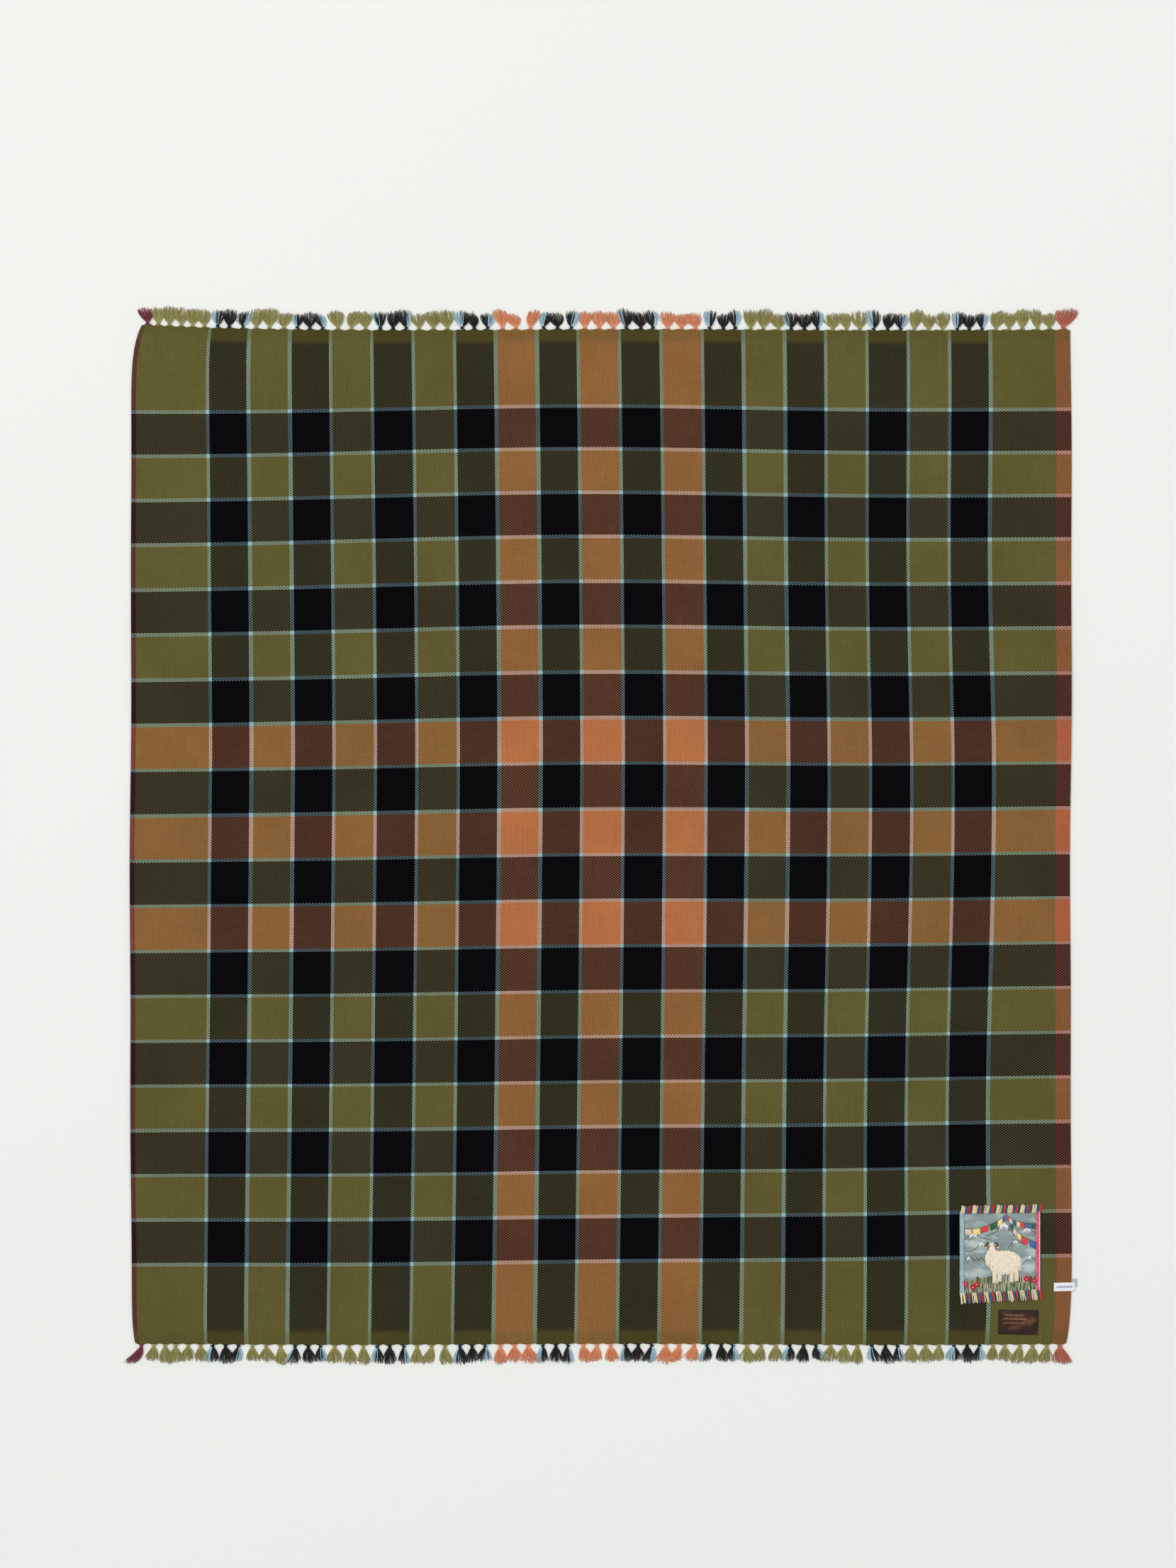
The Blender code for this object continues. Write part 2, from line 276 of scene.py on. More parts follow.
def buildTwillGroup():
    # which yarn lies on top, how high it stands and how its colour mixes with the yarns it crosses, with
    # painted shade in the valleys and beside darker yarns and painted highlight on the ridges
    tree, given, out = newGroup(
        "twoTwoTwill",
        [("Warp", "NodeSocketColor"), ("Weft", "NodeSocketColor")]
        + [(n, "NodeSocketFloat") for n in ("Warp Share", "Weft Share", "Warp Round", "Weft Round")],
        [("Color", "NodeSocketColor"), ("Height", "NodeSocketFloat")],
    )
    yarns = plus(tree, *(addMath(tree, "FLOOR", given[kind + " Share"]) for kind in ("Warp", "Weft")))
    step = addMath(tree, "FRACT", times(tree, yarns, 0.25))
    warpUp = addMath(tree, "LESS_THAN", step, 0.49)
    # warp floats swell into ridges along the diagonal, with weft floats in the valleys
    slope = plus(tree, given["Warp Share"], given["Weft Share"])
    turn = times(tree, minus(tree, slope, 1.5), math.pi / 2)
    ridge = plus(tree, times(tree, addMath(tree, "COSINE", turn), 0.5), 0.5)
    highs = []
    for side, (rise, base) in (("Warp Round", weave["warpRise"]), ("Weft Round", weave["weftRise"])):
        crest = plus(tree, times(tree, ridge, rise), base)
        highs.append(times(tree, crest, given[side]))
    lift = tree.nodes.new("ShaderNodeMix")
    setInputs(lift, tree, {0: warpUp, 2: highs[1], 3: highs[0]})
    height = lift.outputs[0]
    top = addMix(tree, warpUp, given["Weft"], given["Warp"])
    under = addMix(tree, warpUp, given["Warp"], given["Weft"])
    topLight = tree.nodes.new("ShaderNodeRGBToBW")
    underLight = tree.nodes.new("ShaderNodeRGBToBW")
    tree.links.new(top, topLight.inputs[0])
    tree.links.new(under, underLight.inputs[0])
    # a light yarn between darker ones gets little light back from them, and looks duller
    level = addMath(tree, "DIVIDE", underLight.outputs[0], topLight.outputs[0])
    level = addMath(tree, "MINIMUM", times(tree, level, weave["evenness"]), 1.0)
    least = weave["leastLight"]
    back = plus(tree, times(tree, addMath(tree, "POWER", level, 0.42), 1 - least), least)
    fall = minus(tree, topLight.outputs[0], underLight.outputs[0])
    soft = minus(tree, 1.0, times(tree, fall, 3.0))
    dim = addMath(tree, "MINIMUM", addMath(tree, "MAXIMUM", back, soft), 1.0)
    dull = times(tree, minus(tree, 1.0, level), weave["greying"])
    # the crossing yarn's hue is painted in as the coloured light it throws back
    hue = addMix(tree, 1.0, under, addGrey(tree, underLight.outputs[0]), "DIVIDE")
    tinge = addMath(tree, "MINIMUM", level, minus(tree, 1.0, level))
    # painted shade in the valleys and painted highlight on the ridges, from the yarn's height
    depth = addRamp(tree, height, 0.0, 1.0, *weave["depth"])
    shade = addGrey(tree, times(tree, dim, depth))
    top = addMix(tree, dull, top, addGrey(tree, topLight.outputs[0]))
    top = addMix(tree, tinge, top, addMix(tree, 1.0, top, hue, "MULTIPLY"))
    tree.links.new(addMix(tree, 1.0, top, shade, "MULTIPLY"), out["Color"])
    tree.links.new(height, out["Height"])
    return tree


def buildHeatherGroup():
    # soft light and dark fibres in a dyed yarn
    tree, given, out = newGroup(
        "heather",
        [("Color", "NodeSocketColor"), ("Place", "NodeSocketVector")]
        + [(n, "NodeSocketFloat") for n in ("Scale", "Amount")],
        [("Color", "NodeSocketColor"), ("Fibre", "NodeSocketFloat")],
    )
    fibre = addNoise(tree, given["Place"], given["Scale"], 3.0, 0.65)
    spread = times(tree, minus(tree, fibre, 0.5), given["Amount"])
    light = addGrey(tree, plus(tree, 1.0, spread))
    tree.links.new(addMix(tree, 1.0, given["Color"], light, "MULTIPLY"), out["Color"])
    tree.links.new(fibre, out["Fibre"])
    return tree


stripeGroup = buildStripeGroup()
twillGroup = buildTwillGroup()
heatherGroup = buildHeatherGroup()


def checkClothMaterial(width, length):
    material, tree, shader = startMaterial(
        "checkCloth",
        {"Roughness": 0.95, "Sheen Weight": 0.02, "Sheen Roughness": 0.5, "Specular IOR Level": 0.04},
    )
    across, along, _ = splitAxes(tree, addScale(tree, ownMap(tree, "OFBake"), (width, length, 0.0)))
    warpShare, warpIndex, warpPlace, warpRound = addYarnIndex(tree, across, sett["warpPitch"])
    # the last picks are beaten much closer, so their count runs ahead of their place
    edgeGap = addMath(tree, "MINIMUM", along, minus(tree, length, along))
    beaten = addMath(tree, "MAXIMUM", minus(tree, sett["heading"], edgeGap), 0.0)
    lowerEnd = addMath(tree, "LESS_THAN", along, length / 2)
    way = minus(tree, 1.0, times(tree, lowerEnd, 2.0))
    packed = times(tree, times(tree, beaten, way), sett["beat"])
    picks = plus(tree, along, packed)
    weftShare, weftIndex, weftPlace, weftRound = addYarnIndex(tree, picks, sett["weftPitch"])
    colours = {name.capitalize(): dyes[name] for name in ("olive", "black", "rust", "blue")}
    sides = {}
    for side, place, extent in (("warp", warpPlace, width), ("weft", weftPlace, length)):
        middle = extent / 2 + sett[side + "Middle"]
        sides[side] = useGroup(tree, stripeGroup, {
            "Place": minus(tree, place, middle),
            "Repeat": sett[side + "Repeat"],
            "Stripe": sett[side + "Stripe"],
            "Line": sett["line"],
            **colours,
        })["Color"]
    isBurgundy = addMath(tree, "LESS_THAN", warpPlace, sett["burgundySelvedge"])
    isTerracotta = addMath(tree, "GREATER_THAN", warpPlace, width - sett["terracottaSelvedge"])
    warp = addMix(tree, isBurgundy, sides["warp"], dyes["burgundy"])
    warp = addMix(tree, isTerracotta, warp, dyes["terracotta"])
    heading = addRamp(tree, edgeGap, sett["heading"] * 0.7, sett["heading"] * 1.3, 0.36, 0.0)
    warp = addMix(tree, heading, warp, dyes["olive"])
    # each yarn has its own depth of dye, and streaks along its length
    tinted = {}
    for side, colour, index, run, order in (
        ("Warp", warp, warpIndex, along, 0), ("Weft", sides["weft"], weftIndex, across, 1),
    ):
        spot = tree.nodes.new("ShaderNodeCombineXYZ")
        streak = times(tree, run, weave["streakLength"])
        setInputs(spot, tree, {0: times(tree, index, 0.37), 1: streak, 2: 5.0 * order})
        tinted[side] = useGroup(tree, heatherGroup, {
            "Color": colour, "Place": spot.outputs[0], "Scale": 1.0, "Amount": weave["streak"],
        })["Color"]
    woven = useGroup(tree, twillGroup, {
        **tinted, "Warp Share": warpShare, "Weft Share": weftShare,
        "Warp Round": warpRound, "Weft Round": weftRound,
    })
    dense = addRamp(tree, edgeGap, sett["heading"] * 0.3, sett["heading"], 0.95, 1.0)
    cloudy = addRamp(tree, addNoise(tree, objectPlace(tree), 7.0, 3.0), 0.3, 0.7, 0.93, 1.07)
    tone = addGrey(tree, times(tree, dense, cloudy))
    colour = addMix(tree, 1.0, woven["Color"], tone, "MULTIPLY")
    hair = useGroup(tree, heatherGroup, {
        "Color": colour, "Place": objectPlace(tree), "Scale": weave["hairScale"], "Amount": weave["hair"],
    })
    tree.links.new(hair["Color"], shader.inputs["Base Color"])
    height = plus(tree, woven["Height"], times(tree, hair["Fibre"], 0.35))
    addBump(tree, shader, height, 0.8, 0.35 * mm)
    return material


def yarnMaterial(name, scale=700.0, amount=0.7, rough=0.9, sheen=0.12, bump=0.25 * mm):
    # spun yarn or thread that takes its dye from the piece's own attribute
    material, tree, shader = startMaterial(name, {
        "Roughness": rough, "Sheen Weight": sheen, "Sheen Roughness": 0.5, "Specular IOR Level": 0.2,
    })
    dye = tree.nodes.new("ShaderNodeAttribute")
    dye.attribute_name = "dye"
    fibre = useGroup(tree, heatherGroup, {
        "Color": dye.outputs["Color"], "Place": objectPlace(tree), "Scale": scale, "Amount": amount,
    })
    tree.links.new(fibre["Color"], shader.inputs["Base Color"])
    # the ply shows as slanting ridges round the yarn
    along, around, _ = splitAxes(tree, ownMap(tree, "UVMap"))
    slant = plus(tree, times(tree, along, 9.0), times(tree, around, 2.0))
    ply = addMath(tree, "SINE", times(tree, slant, 2 * math.pi))
    height = plus(tree, times(tree, ply, 0.4), fibre["Fibre"])
    addBump(tree, shader, height, 0.6, bump)
    return material


# ---- mesh building

def keepPiece(name, mesh, material, body, nodes=(), slot=None):
    # a finished piece: linked, painted, riding on its body and standing for its frame nodes
    piece = bpy.data.objects.new(name, mesh)
    bpy.context.collection.objects.link(piece)
    if not mesh.materials:
        mesh.materials.append(material)
    if body:
        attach(piece, body)
    if nodes:
        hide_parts(*nodes)
    return piece


def meshFrom(bm, name, smoothAngle=50):
    mesh = bpy.data.meshes.new(name)
    bm.to_mesh(mesh)
    bm.free()
    mesh.shade_smooth()
    mesh.set_sharp_from_angle(angle=math.radians(smoothAngle))
    return mesh


def layPanel(name, columns, rows, shape, mapName="OFBake"):
    # a closed sheet: a grid whose lines stand at the given places, doubled and joined round its edge
    bm = bmesh.new()
    bmesh.ops.create_grid(bm, x_segments=len(columns) - 1, y_segments=len(rows) - 1, size=1.0)
    flat = bm.verts.layers.float_vector.new("flat")
    for vert in bm.verts:
        across = columns[round((vert.co.x + 1) / 2 * (len(columns) - 1))]
        along = rows[round((vert.co.y + 1) / 2 * (len(rows) - 1))]
        vert[flat] = (across, along, 1.0)
    grown = bmesh.ops.extrude_face_region(bm, geom=bm.faces[:])
    for vert in [item for item in grown["geom"] if isinstance(item, bmesh.types.BMVert)]:
        vert[flat] = (vert[flat][0], vert[flat][1], 0.0)
    uv = bm.loops.layers.uv.new(mapName)
    for vert in bm.verts:
        across, along, upper = vert[flat]
        for loop in vert.link_loops:
            loop[uv].uv = (
                (across - columns[0]) / (columns[-1] - columns[0]),
                (along - rows[0]) / (rows[-1] - rows[0]),
            )
        vert.co = shape(across, along, upper > 0.5)
    bmesh.ops.recalc_face_normals(bm, faces=bm.faces)
    return meshFrom(bm, name)


def spinThreads(name, runs, resolution=1):
    # many round threads in one mesh. A run is (points, radius or radii, dye, closed)
    path = bpy.data.curves.new(name + "Path", "CURVE")
    path.dimensions = "3D"
    path.bevel_depth = mm
    path.bevel_resolution = resolution
    path.use_fill_caps = True
    around = 4 + 2 * resolution
    capDyes, tubeDyes = [], []
    for points, radii, dye, closed in runs:
        spline = path.splines.new("POLY")
        spline.points.add(len(points) - 1)
        spline.points.foreach_set("co", [c for point in points for c in (*point, 1.0)])
        if not isinstance(radii, (list, tuple)):
            radii = [radii] * len(points)
        spline.points.foreach_set("radius", [radius / mm for radius in radii])
        spline.use_cyclic_u = closed
        if isinstance(dye[0], float):
            dye = [dye] * len(points)
        for tint in dye:
            tubeDyes += list(tint) * around
        if not closed:
            capDyes.append(list(dye[-1]) * around + list(dye[0]) * around)
    holder = bpy.data.objects.new(name + "Path", path)
    bpy.context.collection.objects.link(holder)
    bpy.context.view_layer.update()
    mesh = bpy.data.meshes.new_from_object(holder.evaluated_get(bpy.context.evaluated_depsgraph_get()))
    mesh.name = name
    bpy.data.objects.remove(holder, do_unlink=True)
    # the conversion writes the caps first, last thread to first, and then the tubes
    dyeList = [value for cap in reversed(capDyes) for value in cap] + tubeDyes
    if len(mesh.vertices) * 4 != len(dyeList):
        raise ValueError(f"{name}: {len(mesh.vertices)} points and {len(dyeList) // 4} dyes")
    mesh.attributes.new("dye", "FLOAT_COLOR", "POINT").data.foreach_set("color", dyeList)
    bm = bmesh.new()
    bm.from_mesh(mesh)
    bmesh.ops.remove_doubles(bm, verts=bm.verts, dist=0.000002)
    bmesh.ops.recalc_face_normals(bm, faces=bm.faces)
    bm.to_mesh(mesh)
    bm.free()
    mesh.shade_smooth()
    return mesh


def evenPlaces(low, high, step):
    count = max(1, round((high - low) / step))
    return [low + (high - low) * n / count for n in range(count + 1)]


def fromMiddle(number, count):
    # the middle of one of count equal shares, from -1 to 1
    return -1 + 2 * (number + 0.5) / count


# ---- the woven cloth

clothLow, clothHigh = corners("cloth_lower", "cloth_upper")
clothMiddle = (clothLow + clothHigh) / 2
patchLow, patchHigh = corners("patch_ground")
leatherLow, leatherHigh = corners("leather_label")

blanket = {
    "step": 5.9 * mm,
    "rowStep": 11.5 * mm,
    "rollReach": 9.0 * mm,  # each side of the fold line
    "rollStep": 1.0 * mm,
    "edgeRound": 1.3 * mm,
    "scallop": 0.9 * mm,
    "tassels": 69,
    "wave": 1.6 * mm,
    "leftLift": 6.5 * mm,
    "rightFall": 5.0 * mm,
    "arch": 10.5 * mm,
    "sway": 6.0 * mm,
    "cornersIn": (18 * mm, 6 * mm, -8 * mm),  # top left, low left and low right
    "footDrop": 2.6 * mm,
}


def clothShift(across, along):
    # how far the weave has wandered from square, at flat distances from the cloth's middle
    s = across / (clothHigh.x - clothLow.x) + 0.5
    t = along / (clothHigh.y - clothLow.y) + 0.5
    # weft: it climbs to the right, and arches upward over the upper half
    lift = blanket["leftLift"] * easeIn(t, 0.30, 0.78) - 3.7 * mm - 4 * mm * easeIn(t, 0.80, 0.96)
    lift += (14 * mm - 3 * mm * easeIn(t, 0.3, 0.7) - blanket["rightFall"] * easeIn(t, 0.7, 0.95)) * s
    arch = blanket["arch"] * easeIn(t, 0.10, 0.85) - 1.5 * mm - 3 * mm * easeIn(t, 0.88, 0.98)
    arch = arch * math.sin(math.pi * s ** 0.85) ** 2.2 - 1.4 * mm * math.sin(2 * math.pi * s) ** 2
    up = (lift + arch) * easeIn(t, 0.0, 0.055) * easeIn(1 - t, 0.0, 0.055)
    # warp: it leans left toward both ends, twice as far near the right selvedge
    sway = 0.4 * mm - blanket["sway"] * abs((t - 0.58) / 0.42) ** 1.3
    sway -= (3.6 - 2.6 * math.cos(4 * math.pi * t)) * mm * easeIn(s, 0.55, 0.95)
    side = sway * easeIn(s, 0.0, 0.08) * easeIn(1 - s, 0.0, 0.08)
    # the corners are drawn in, and the edges are never quite straight
    topLeft, lowLeft, lowRight = blanket["cornersIn"]
    topLeft *= (1 - s) ** 12 * math.exp(-(1 - t) * 48)
    lowLeft *= (1 - s) ** 12 * math.exp(-t * 60)
    lowRight *= s ** 12 * math.exp(-t * 45)
    ripple = 1.0 * mm * (math.sin(9.1 * t + 1.0) + 0.6 * math.sin(23.0 * t)) * (abs(2 * s - 1) ** 6)
    rise = 7 * mm * (1 - s) ** 9 * t ** 14 + 0.8 * mm * math.sin(11 * s + 2) * abs(2 * t - 1) ** 9
    rise -= blanket["footDrop"] * math.exp(-t * 30)
    return side + topLeft + lowLeft + lowRight + ripple, up + rise


def clothWave(x, y):
    # the cloth's underside over the floor: wide, low waves that die out under the patch, labels and fold
    swell = noise.noise(Vector((x * 3.1 + 4.0, y * 2.3, 0.0)))
    swell += 0.5 * noise.noise(Vector((x * 7.0, y * 6.0, 3.0)))
    middle = (patchLow + patchHigh) / 2
    calm = easeIn(math.hypot(x - middle.x, (y - middle.y) * 0.8), 0.11, 0.26)
    calm *= easeIn(abs(y), 0.02, 0.12) * easeIn(clothHigh.y - abs(y), 0.01, 0.10)
    return blanket["wave"] * max(0.0, 0.35 + swell) * calm


def clothPoint(across, along, upper):
    flatX = across - clothMiddle.x
    flatY = along - clothMiddle.y
    dx, dy = clothShift(flatX, flatY)
    x, y = across + dx, along + dy
    thick = clothHigh.z - clothLow.z
    edge = min(across - clothLow.x, clothHigh.x - across, along - clothLow.y, clothHigh.y - along)
    share = min(1.0, max(0.0, edge / blanket["edgeRound"]))
    bulge = math.sqrt(1 - (1 - share) ** 2)
    half = thick / 2 * (0.35 + 0.65 * bulge)
    # the knots pull the last pick out, and it sinks back between them
    endGap = min(along - clothLow.y, clothHigh.y - along)
    spot = (across - clothLow.x) / (clothHigh.x - clothLow.x)
    pull = math.cos(2 * math.pi * spot * blanket["tassels"])
    outward = 1 if along > clothMiddle.y else -1
    y -= outward * blanket["scallop"] * pull * math.exp(-endGap / (4 * mm))
    return Vector((x, y, clothWave(x, y) + thick / 2 + (half if upper else -half)))


def buildCloth():
    rim = [0.0, 0.4 * mm, 0.9 * mm, 1.4 * mm]
    columns = [clothLow.x + r for r in rim]
    columns += evenPlaces(clothLow.x + 4 * mm, clothHigh.x - 4 * mm, blanket["step"])
    columns += [clothHigh.x - r for r in reversed(rim)]
    reach = blanket["rollReach"] + 2 * mm
    lower = evenPlaces(clothLow.y + 12 * mm, -reach, blanket["rowStep"])[:-1]
    upper = evenPlaces(reach, clothHigh.y - 12 * mm, blanket["rowStep"])[1:]
    ends = rim + [3.5 * mm, 7 * mm]
    rows = [clothLow.y + r for r in ends] + lower + evenPlaces(-reach, reach, blanket["rollStep"])
    rows += upper + [clothHigh.y - r for r in reversed(ends)]
    mesh = layPanel("wovenCloth", columns, rows, clothPoint)
    material = checkClothMaterial(clothHigh.x - clothLow.x, clothHigh.y - clothLow.y)
    cloth = keepPiece("wovenCloth", mesh, material, None, ("cloth_lower", "cloth_upper"), "check_cloth")
    start, end = (0, -blanket["rollReach"], 0), (0, blanket["rollReach"], 0)
    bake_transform(cloth)
    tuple(start)
    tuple(end)
    print("cloth", len(mesh.polygons), "faces")
    return cloth


# ---- fringe

tassel = {
    "seed": 17,
    "pitch": 20 * mm,
    "yarn": 0.47 * mm,
    "yarns": (26, 33),
    "curl": 1.3 * mm,
    "length": (23.5 * mm, 28.5 * mm),
    "flare": (8.2 * mm, 11.8 * mm),
    "knot": 3.4 * mm,
    "knotHalf": 1.9 * mm,
    "rootSpread": 7.5 * mm,
    "bendFrom": -1.5 * mm,
    "bendTo": 2.0 * mm,
    "stray": 1.2 * mm,
    "cornerLean": {"burgundy_yarn": (-0.25, -0.66), "terracotta_yarn": (0.25, 0.25)},  # top, foot
    "bulk": {"terracotta_yarn": 1.45},
    "throat": 1.15 * mm,
    "steps": 7,
    "strayShare": 0.07,
    "paleTips": (0.42, 0.20),  # top, foot
    "spread": ((0.88, 0.12), (0.62, 0.38)),
    "turnThick": 0.66 * mm,
    "turnStep": 1.15 * mm,
}

fringeDyes = {
    "olive_yarn": (paint(140, 134, 72), paint(164, 156, 92)),
    "black_yarn": (paint(18, 16, 19), paint(34, 31, 34)),
    "rust_yarn": (paint(216, 132, 88), paint(232, 152, 108)),
    "burgundy_yarn": (paint(106, 40, 56), paint(132, 60, 72)),
    "terracotta_yarn": (paint(176, 93, 70), paint(198, 117, 94)),
    "blue": (paint(150, 188, 204), paint(180, 210, 220)),
}


def groupNames(side):
    names = [f"fringe_{side}_stripe_{number:02d}" for number in range(1, 22)]
    return [f"fringe_{side}_left_selvedge", *names, f"fringe_{side}_right_selvedge"]


def yarnRun(rng, root, end, knotY, fan, depth, length, lean, flare, spread, strayed, bulk):
    # one yarn from inside the cloth's edge, through the knot and out to its tip
    points = []
    inside = fan * tassel["rootSpread"] * rng.uniform(0.5, 1.0)
    points.append(root + Vector((inside, -end * 1.2 * mm, 0)))
    points.append(root + Vector((fan * 1.7 * mm, end * 0.7 * mm, (depth * 0.5 + 0.2) * mm)))
    throat = Vector((root.x + fan * tassel["throat"] * bulk, knotY, (1.7 + depth * 0.55) * mm))
    points.append(throat)
    swing = rng.uniform(-1, 1) * tassel["curl"] * (2.2 if strayed else 1.0)
    phase = rng.uniform(0, math.pi)
    hook = rng.gauss(0, 0.6) * mm
    for step in range(1, tassel["steps"] + 1):
        share = step / tassel["steps"]
        out = fan * flare * (spread[0] * math.sin(2.0 * share ** 0.85) + spread[1] * share ** 1.5)
        if strayed:
            out *= 1.2 + 0.2 * share
        reachOut = length * share * (1 - 0.07 * abs(fan) * share)
        x = throat.x + out + lean * reachOut * (0.5 + 0.5 * share)
        x += swing * math.sin(phase + 3.4 * share) * share + hook * share ** 3
        high = 0.62 * mm + (depth + 1) * 0.72 * mm
        z = throat.z + (high - throat.z) * min(1.0, share * 1.5)
        z += 0.25 * mm * math.sin(phase + 4 * share)
        points.append(Vector((x, throat.y + end * reachOut, max(z, 0.55 * mm))))
    return points


def tieKnot(rng, root, end, dye, bulk):
    # the yarns' own overhand turns, drawn tight round the bundle
    runs = []
    for turn in range(3):
        middle = root.y + end * (0.9 * mm + tassel["turnStep"] * turn)
        tilt = rng.uniform(-0.35, 0.35)
        wide = tassel["knotHalf"] * bulk * (1.0, 1.18, 1.0)[turn] * rng.uniform(0.94, 1.06)
        points = []
        for corner in range(10):
            angle = 2 * math.pi * corner / 10
            x = math.cos(angle) * wide
            z = (1.75 + 1.15 * math.sin(angle)) * mm
            points.append(Vector((root.x + x, middle + tilt * x, z)))
        runs.append((points, tassel["turnThick"], mixPaint(*dye, rng.random()), True))
    return runs


def buildTassel(rng, x, width, end, kind, blueSide):
    foot = 0 if end > 0 else 1
    edgeY = (clothHigh.y, clothLow.y)[foot]
    root = (clothPoint(x, edgeY, True) + clothPoint(x, edgeY, False)) / 2
    dye = fringeDyes[kind]
    knotY = root.y + end * tassel["knot"]
    bulk = tassel["bulk"].get(kind, 1.0)
    count = round(rng.randint(*tassel["yarns"]) * bulk)
    length = rng.uniform(*tassel["length"]) * (1.0 if foot else rng.uniform(0.9, 1.12)) - tassel["knot"]
    flare = rng.uniform(*tassel["flare"]) * width / tassel["pitch"] * bulk
    lean = rng.gauss(0.0, 0.16)
    if kind in tassel["cornerLean"]:
        lean = tassel["cornerLean"][kind][foot]
    runs = tieKnot(rng, root, end, dye, bulk)
    pale, spread = tassel["paleTips"][foot], tassel["spread"][foot]
    for number in range(count):
        fan = fromMiddle(number, count) + rng.uniform(-0.05, 0.05)
        depth = (number % 3) - 1 + rng.uniform(-0.25, 0.25)
        strayed = rng.random() < tassel["strayShare"]
        yarnLength = length * rng.uniform(0.84, 1.06) * (1 + 0.05 * math.cos(fan * 1.5))
        points = yarnRun(
            rng, root, end, knotY, fan, depth, yarnLength, lean, flare, spread, strayed, bulk,
        )
        isBlue = blueSide and fan * blueSide > rng.uniform(-0.25, 0.75)
        shade = mixPaint(*(fringeDyes["blue"] if isBlue else dye), rng.random())
        tipShade = mixPaint(shade, paint(205, 196, 180), pale * rng.uniform(0.5, 1.2))
        tints = [shade] * (len(points) - 2) + [mixPaint(shade, tipShade, 0.35), tipShade]
        thin = tassel["yarn"] * rng.uniform(0.9, 1.12)
        radii = [thin] * (len(points) - 1) + [thin * 0.55]
        runs.append((points, radii, tints, False))
    return runs


def buildFringe(side, end):
    rng = random.Random(tassel["seed"] + (1 if end > 0 else 0))
    kinds = {row["node"]: row["material_slot"] for row in frame["record"]["subparts"]}
    byKind, nodesOf = {}, {}
    for node in groupNames(side):
        low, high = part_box(node)
        count = max(1, round((high.x - low.x) / tassel["pitch"]))
        width = (high.x - low.x) / count
        kind = kinds[node]
        nodesOf.setdefault(kind, []).append(node)
        for number in range(count):
            x = low.x + width * (number + 0.5) + rng.uniform(-1, 1) * tassel["stray"] * (count > 1)
            # a black stripe's first and last tassels take in the blue line's yarns
            blueSide = 0
            if kind == "black_yarn" and number in (0, count - 1):
                blueSide = -1 if number == 0 else 1
            byKind.setdefault(kind, []).extend(buildTassel(rng, x, width, end, kind, blueSide))
    made = []
    for kind, runs in byKind.items():
        label = kind.split("_")[0]
        name = f"fringe{side.capitalize()}{label.capitalize()}"
        piece = keepPiece(name, spinThreads(name, runs), yarnMaterials[kind], None, nodesOf[kind], kind)
        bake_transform(piece)
        made.append(piece)
    print("fringe", side, sum(len(piece.data.polygons) for piece in made), "faces")
    return made


# ---- the embroidered patch

patchWork = {
    "seed": 5,
    "shiftX": 0.6 * mm,
    "bottomLift": (1.9 * mm, 8.2 * mm),  # at the left and right edge
    "topLift": (1.1 * mm, 3.0 * mm),
    "ground": 3.3 * mm,
    "floss": 0.47 * mm,
    "fringePitch": 1.78 * mm,
    "fringeYarn": 0.86 * mm,
    "leftRibbon": 6.3 * mm,
    "rightRibbon": 5.0 * mm,
    "ribbon": 0.75 * mm,
    "ribPitch": 0.9 * mm,
    "sceneLeft": 0.058,
    "sceneRight": 0.945,
}

flossDyes = {
    "cream": paint(236, 224, 200),
    "blush": paint(232, 200, 188),
    "yellow": paint(240, 222, 130),
    "blue": paint(34, 98, 166),
    "crimson": paint(196, 36, 62),
    "red": paint(228, 30, 38),
    "green": paint(30, 96, 68),
    "bark": paint(92, 62, 48),
    "white": paint(240, 240, 242),
    "navy": paint(44, 48, 88),
    "leaf": paint(112, 136, 62),
    "moss": paint(58, 98, 50),
    "straw": paint(198, 194, 140),
    "charcoal": paint(40, 34, 36),
}


def shaded(rng, name, most, other="charcoal"):
    # a floss dye with up to this share of another in it
    return mixPaint(flossDyes[name], flossDyes[other], rng.uniform(0, most))


def onPatch(p, q, high=0.0):
    # a place over the patch's ground, which lies a little askew: p runs right and q up, both 0 to 1
    size = patchHigh - patchLow
    lifts = patchWork["bottomLift"], patchWork["topLift"]
    low, top = (left + (right - left) * p for left, right in lifts)
    x = patchLow.x + patchWork["shiftX"] + p * size.x
    y = patchLow.y + q * size.y + (1 - q) * low + q * top
    return Vector((x, y, patchWork["ground"] + high))


def ringOf(middle, radius, count):
    turns = [2 * math.pi * step / count for step in range(count)]
    return [middle + Vector((math.cos(turn), math.sin(turn), 0)) * radius for turn in turns]


def alongPath(knots, share):
    # a place on a smooth line through the given knots
    spot = min(len(knots) - 1.0001, max(0.0, share * (len(knots) - 1)))
    index = int(spot)
    u = spot - index
    near = [knots[min(len(knots) - 1, max(0, index + step))] for step in (-1, 0, 1, 2)]
    place = []
    for a, b, c, d in zip(*near):
        bend = (2 * a - 5 * b + 4 * c - d) * u * u + (3 * b - a - 3 * c + d) * u ** 3
        place.append(0.5 * (2 * b + (c - a) * u + bend))
    return place


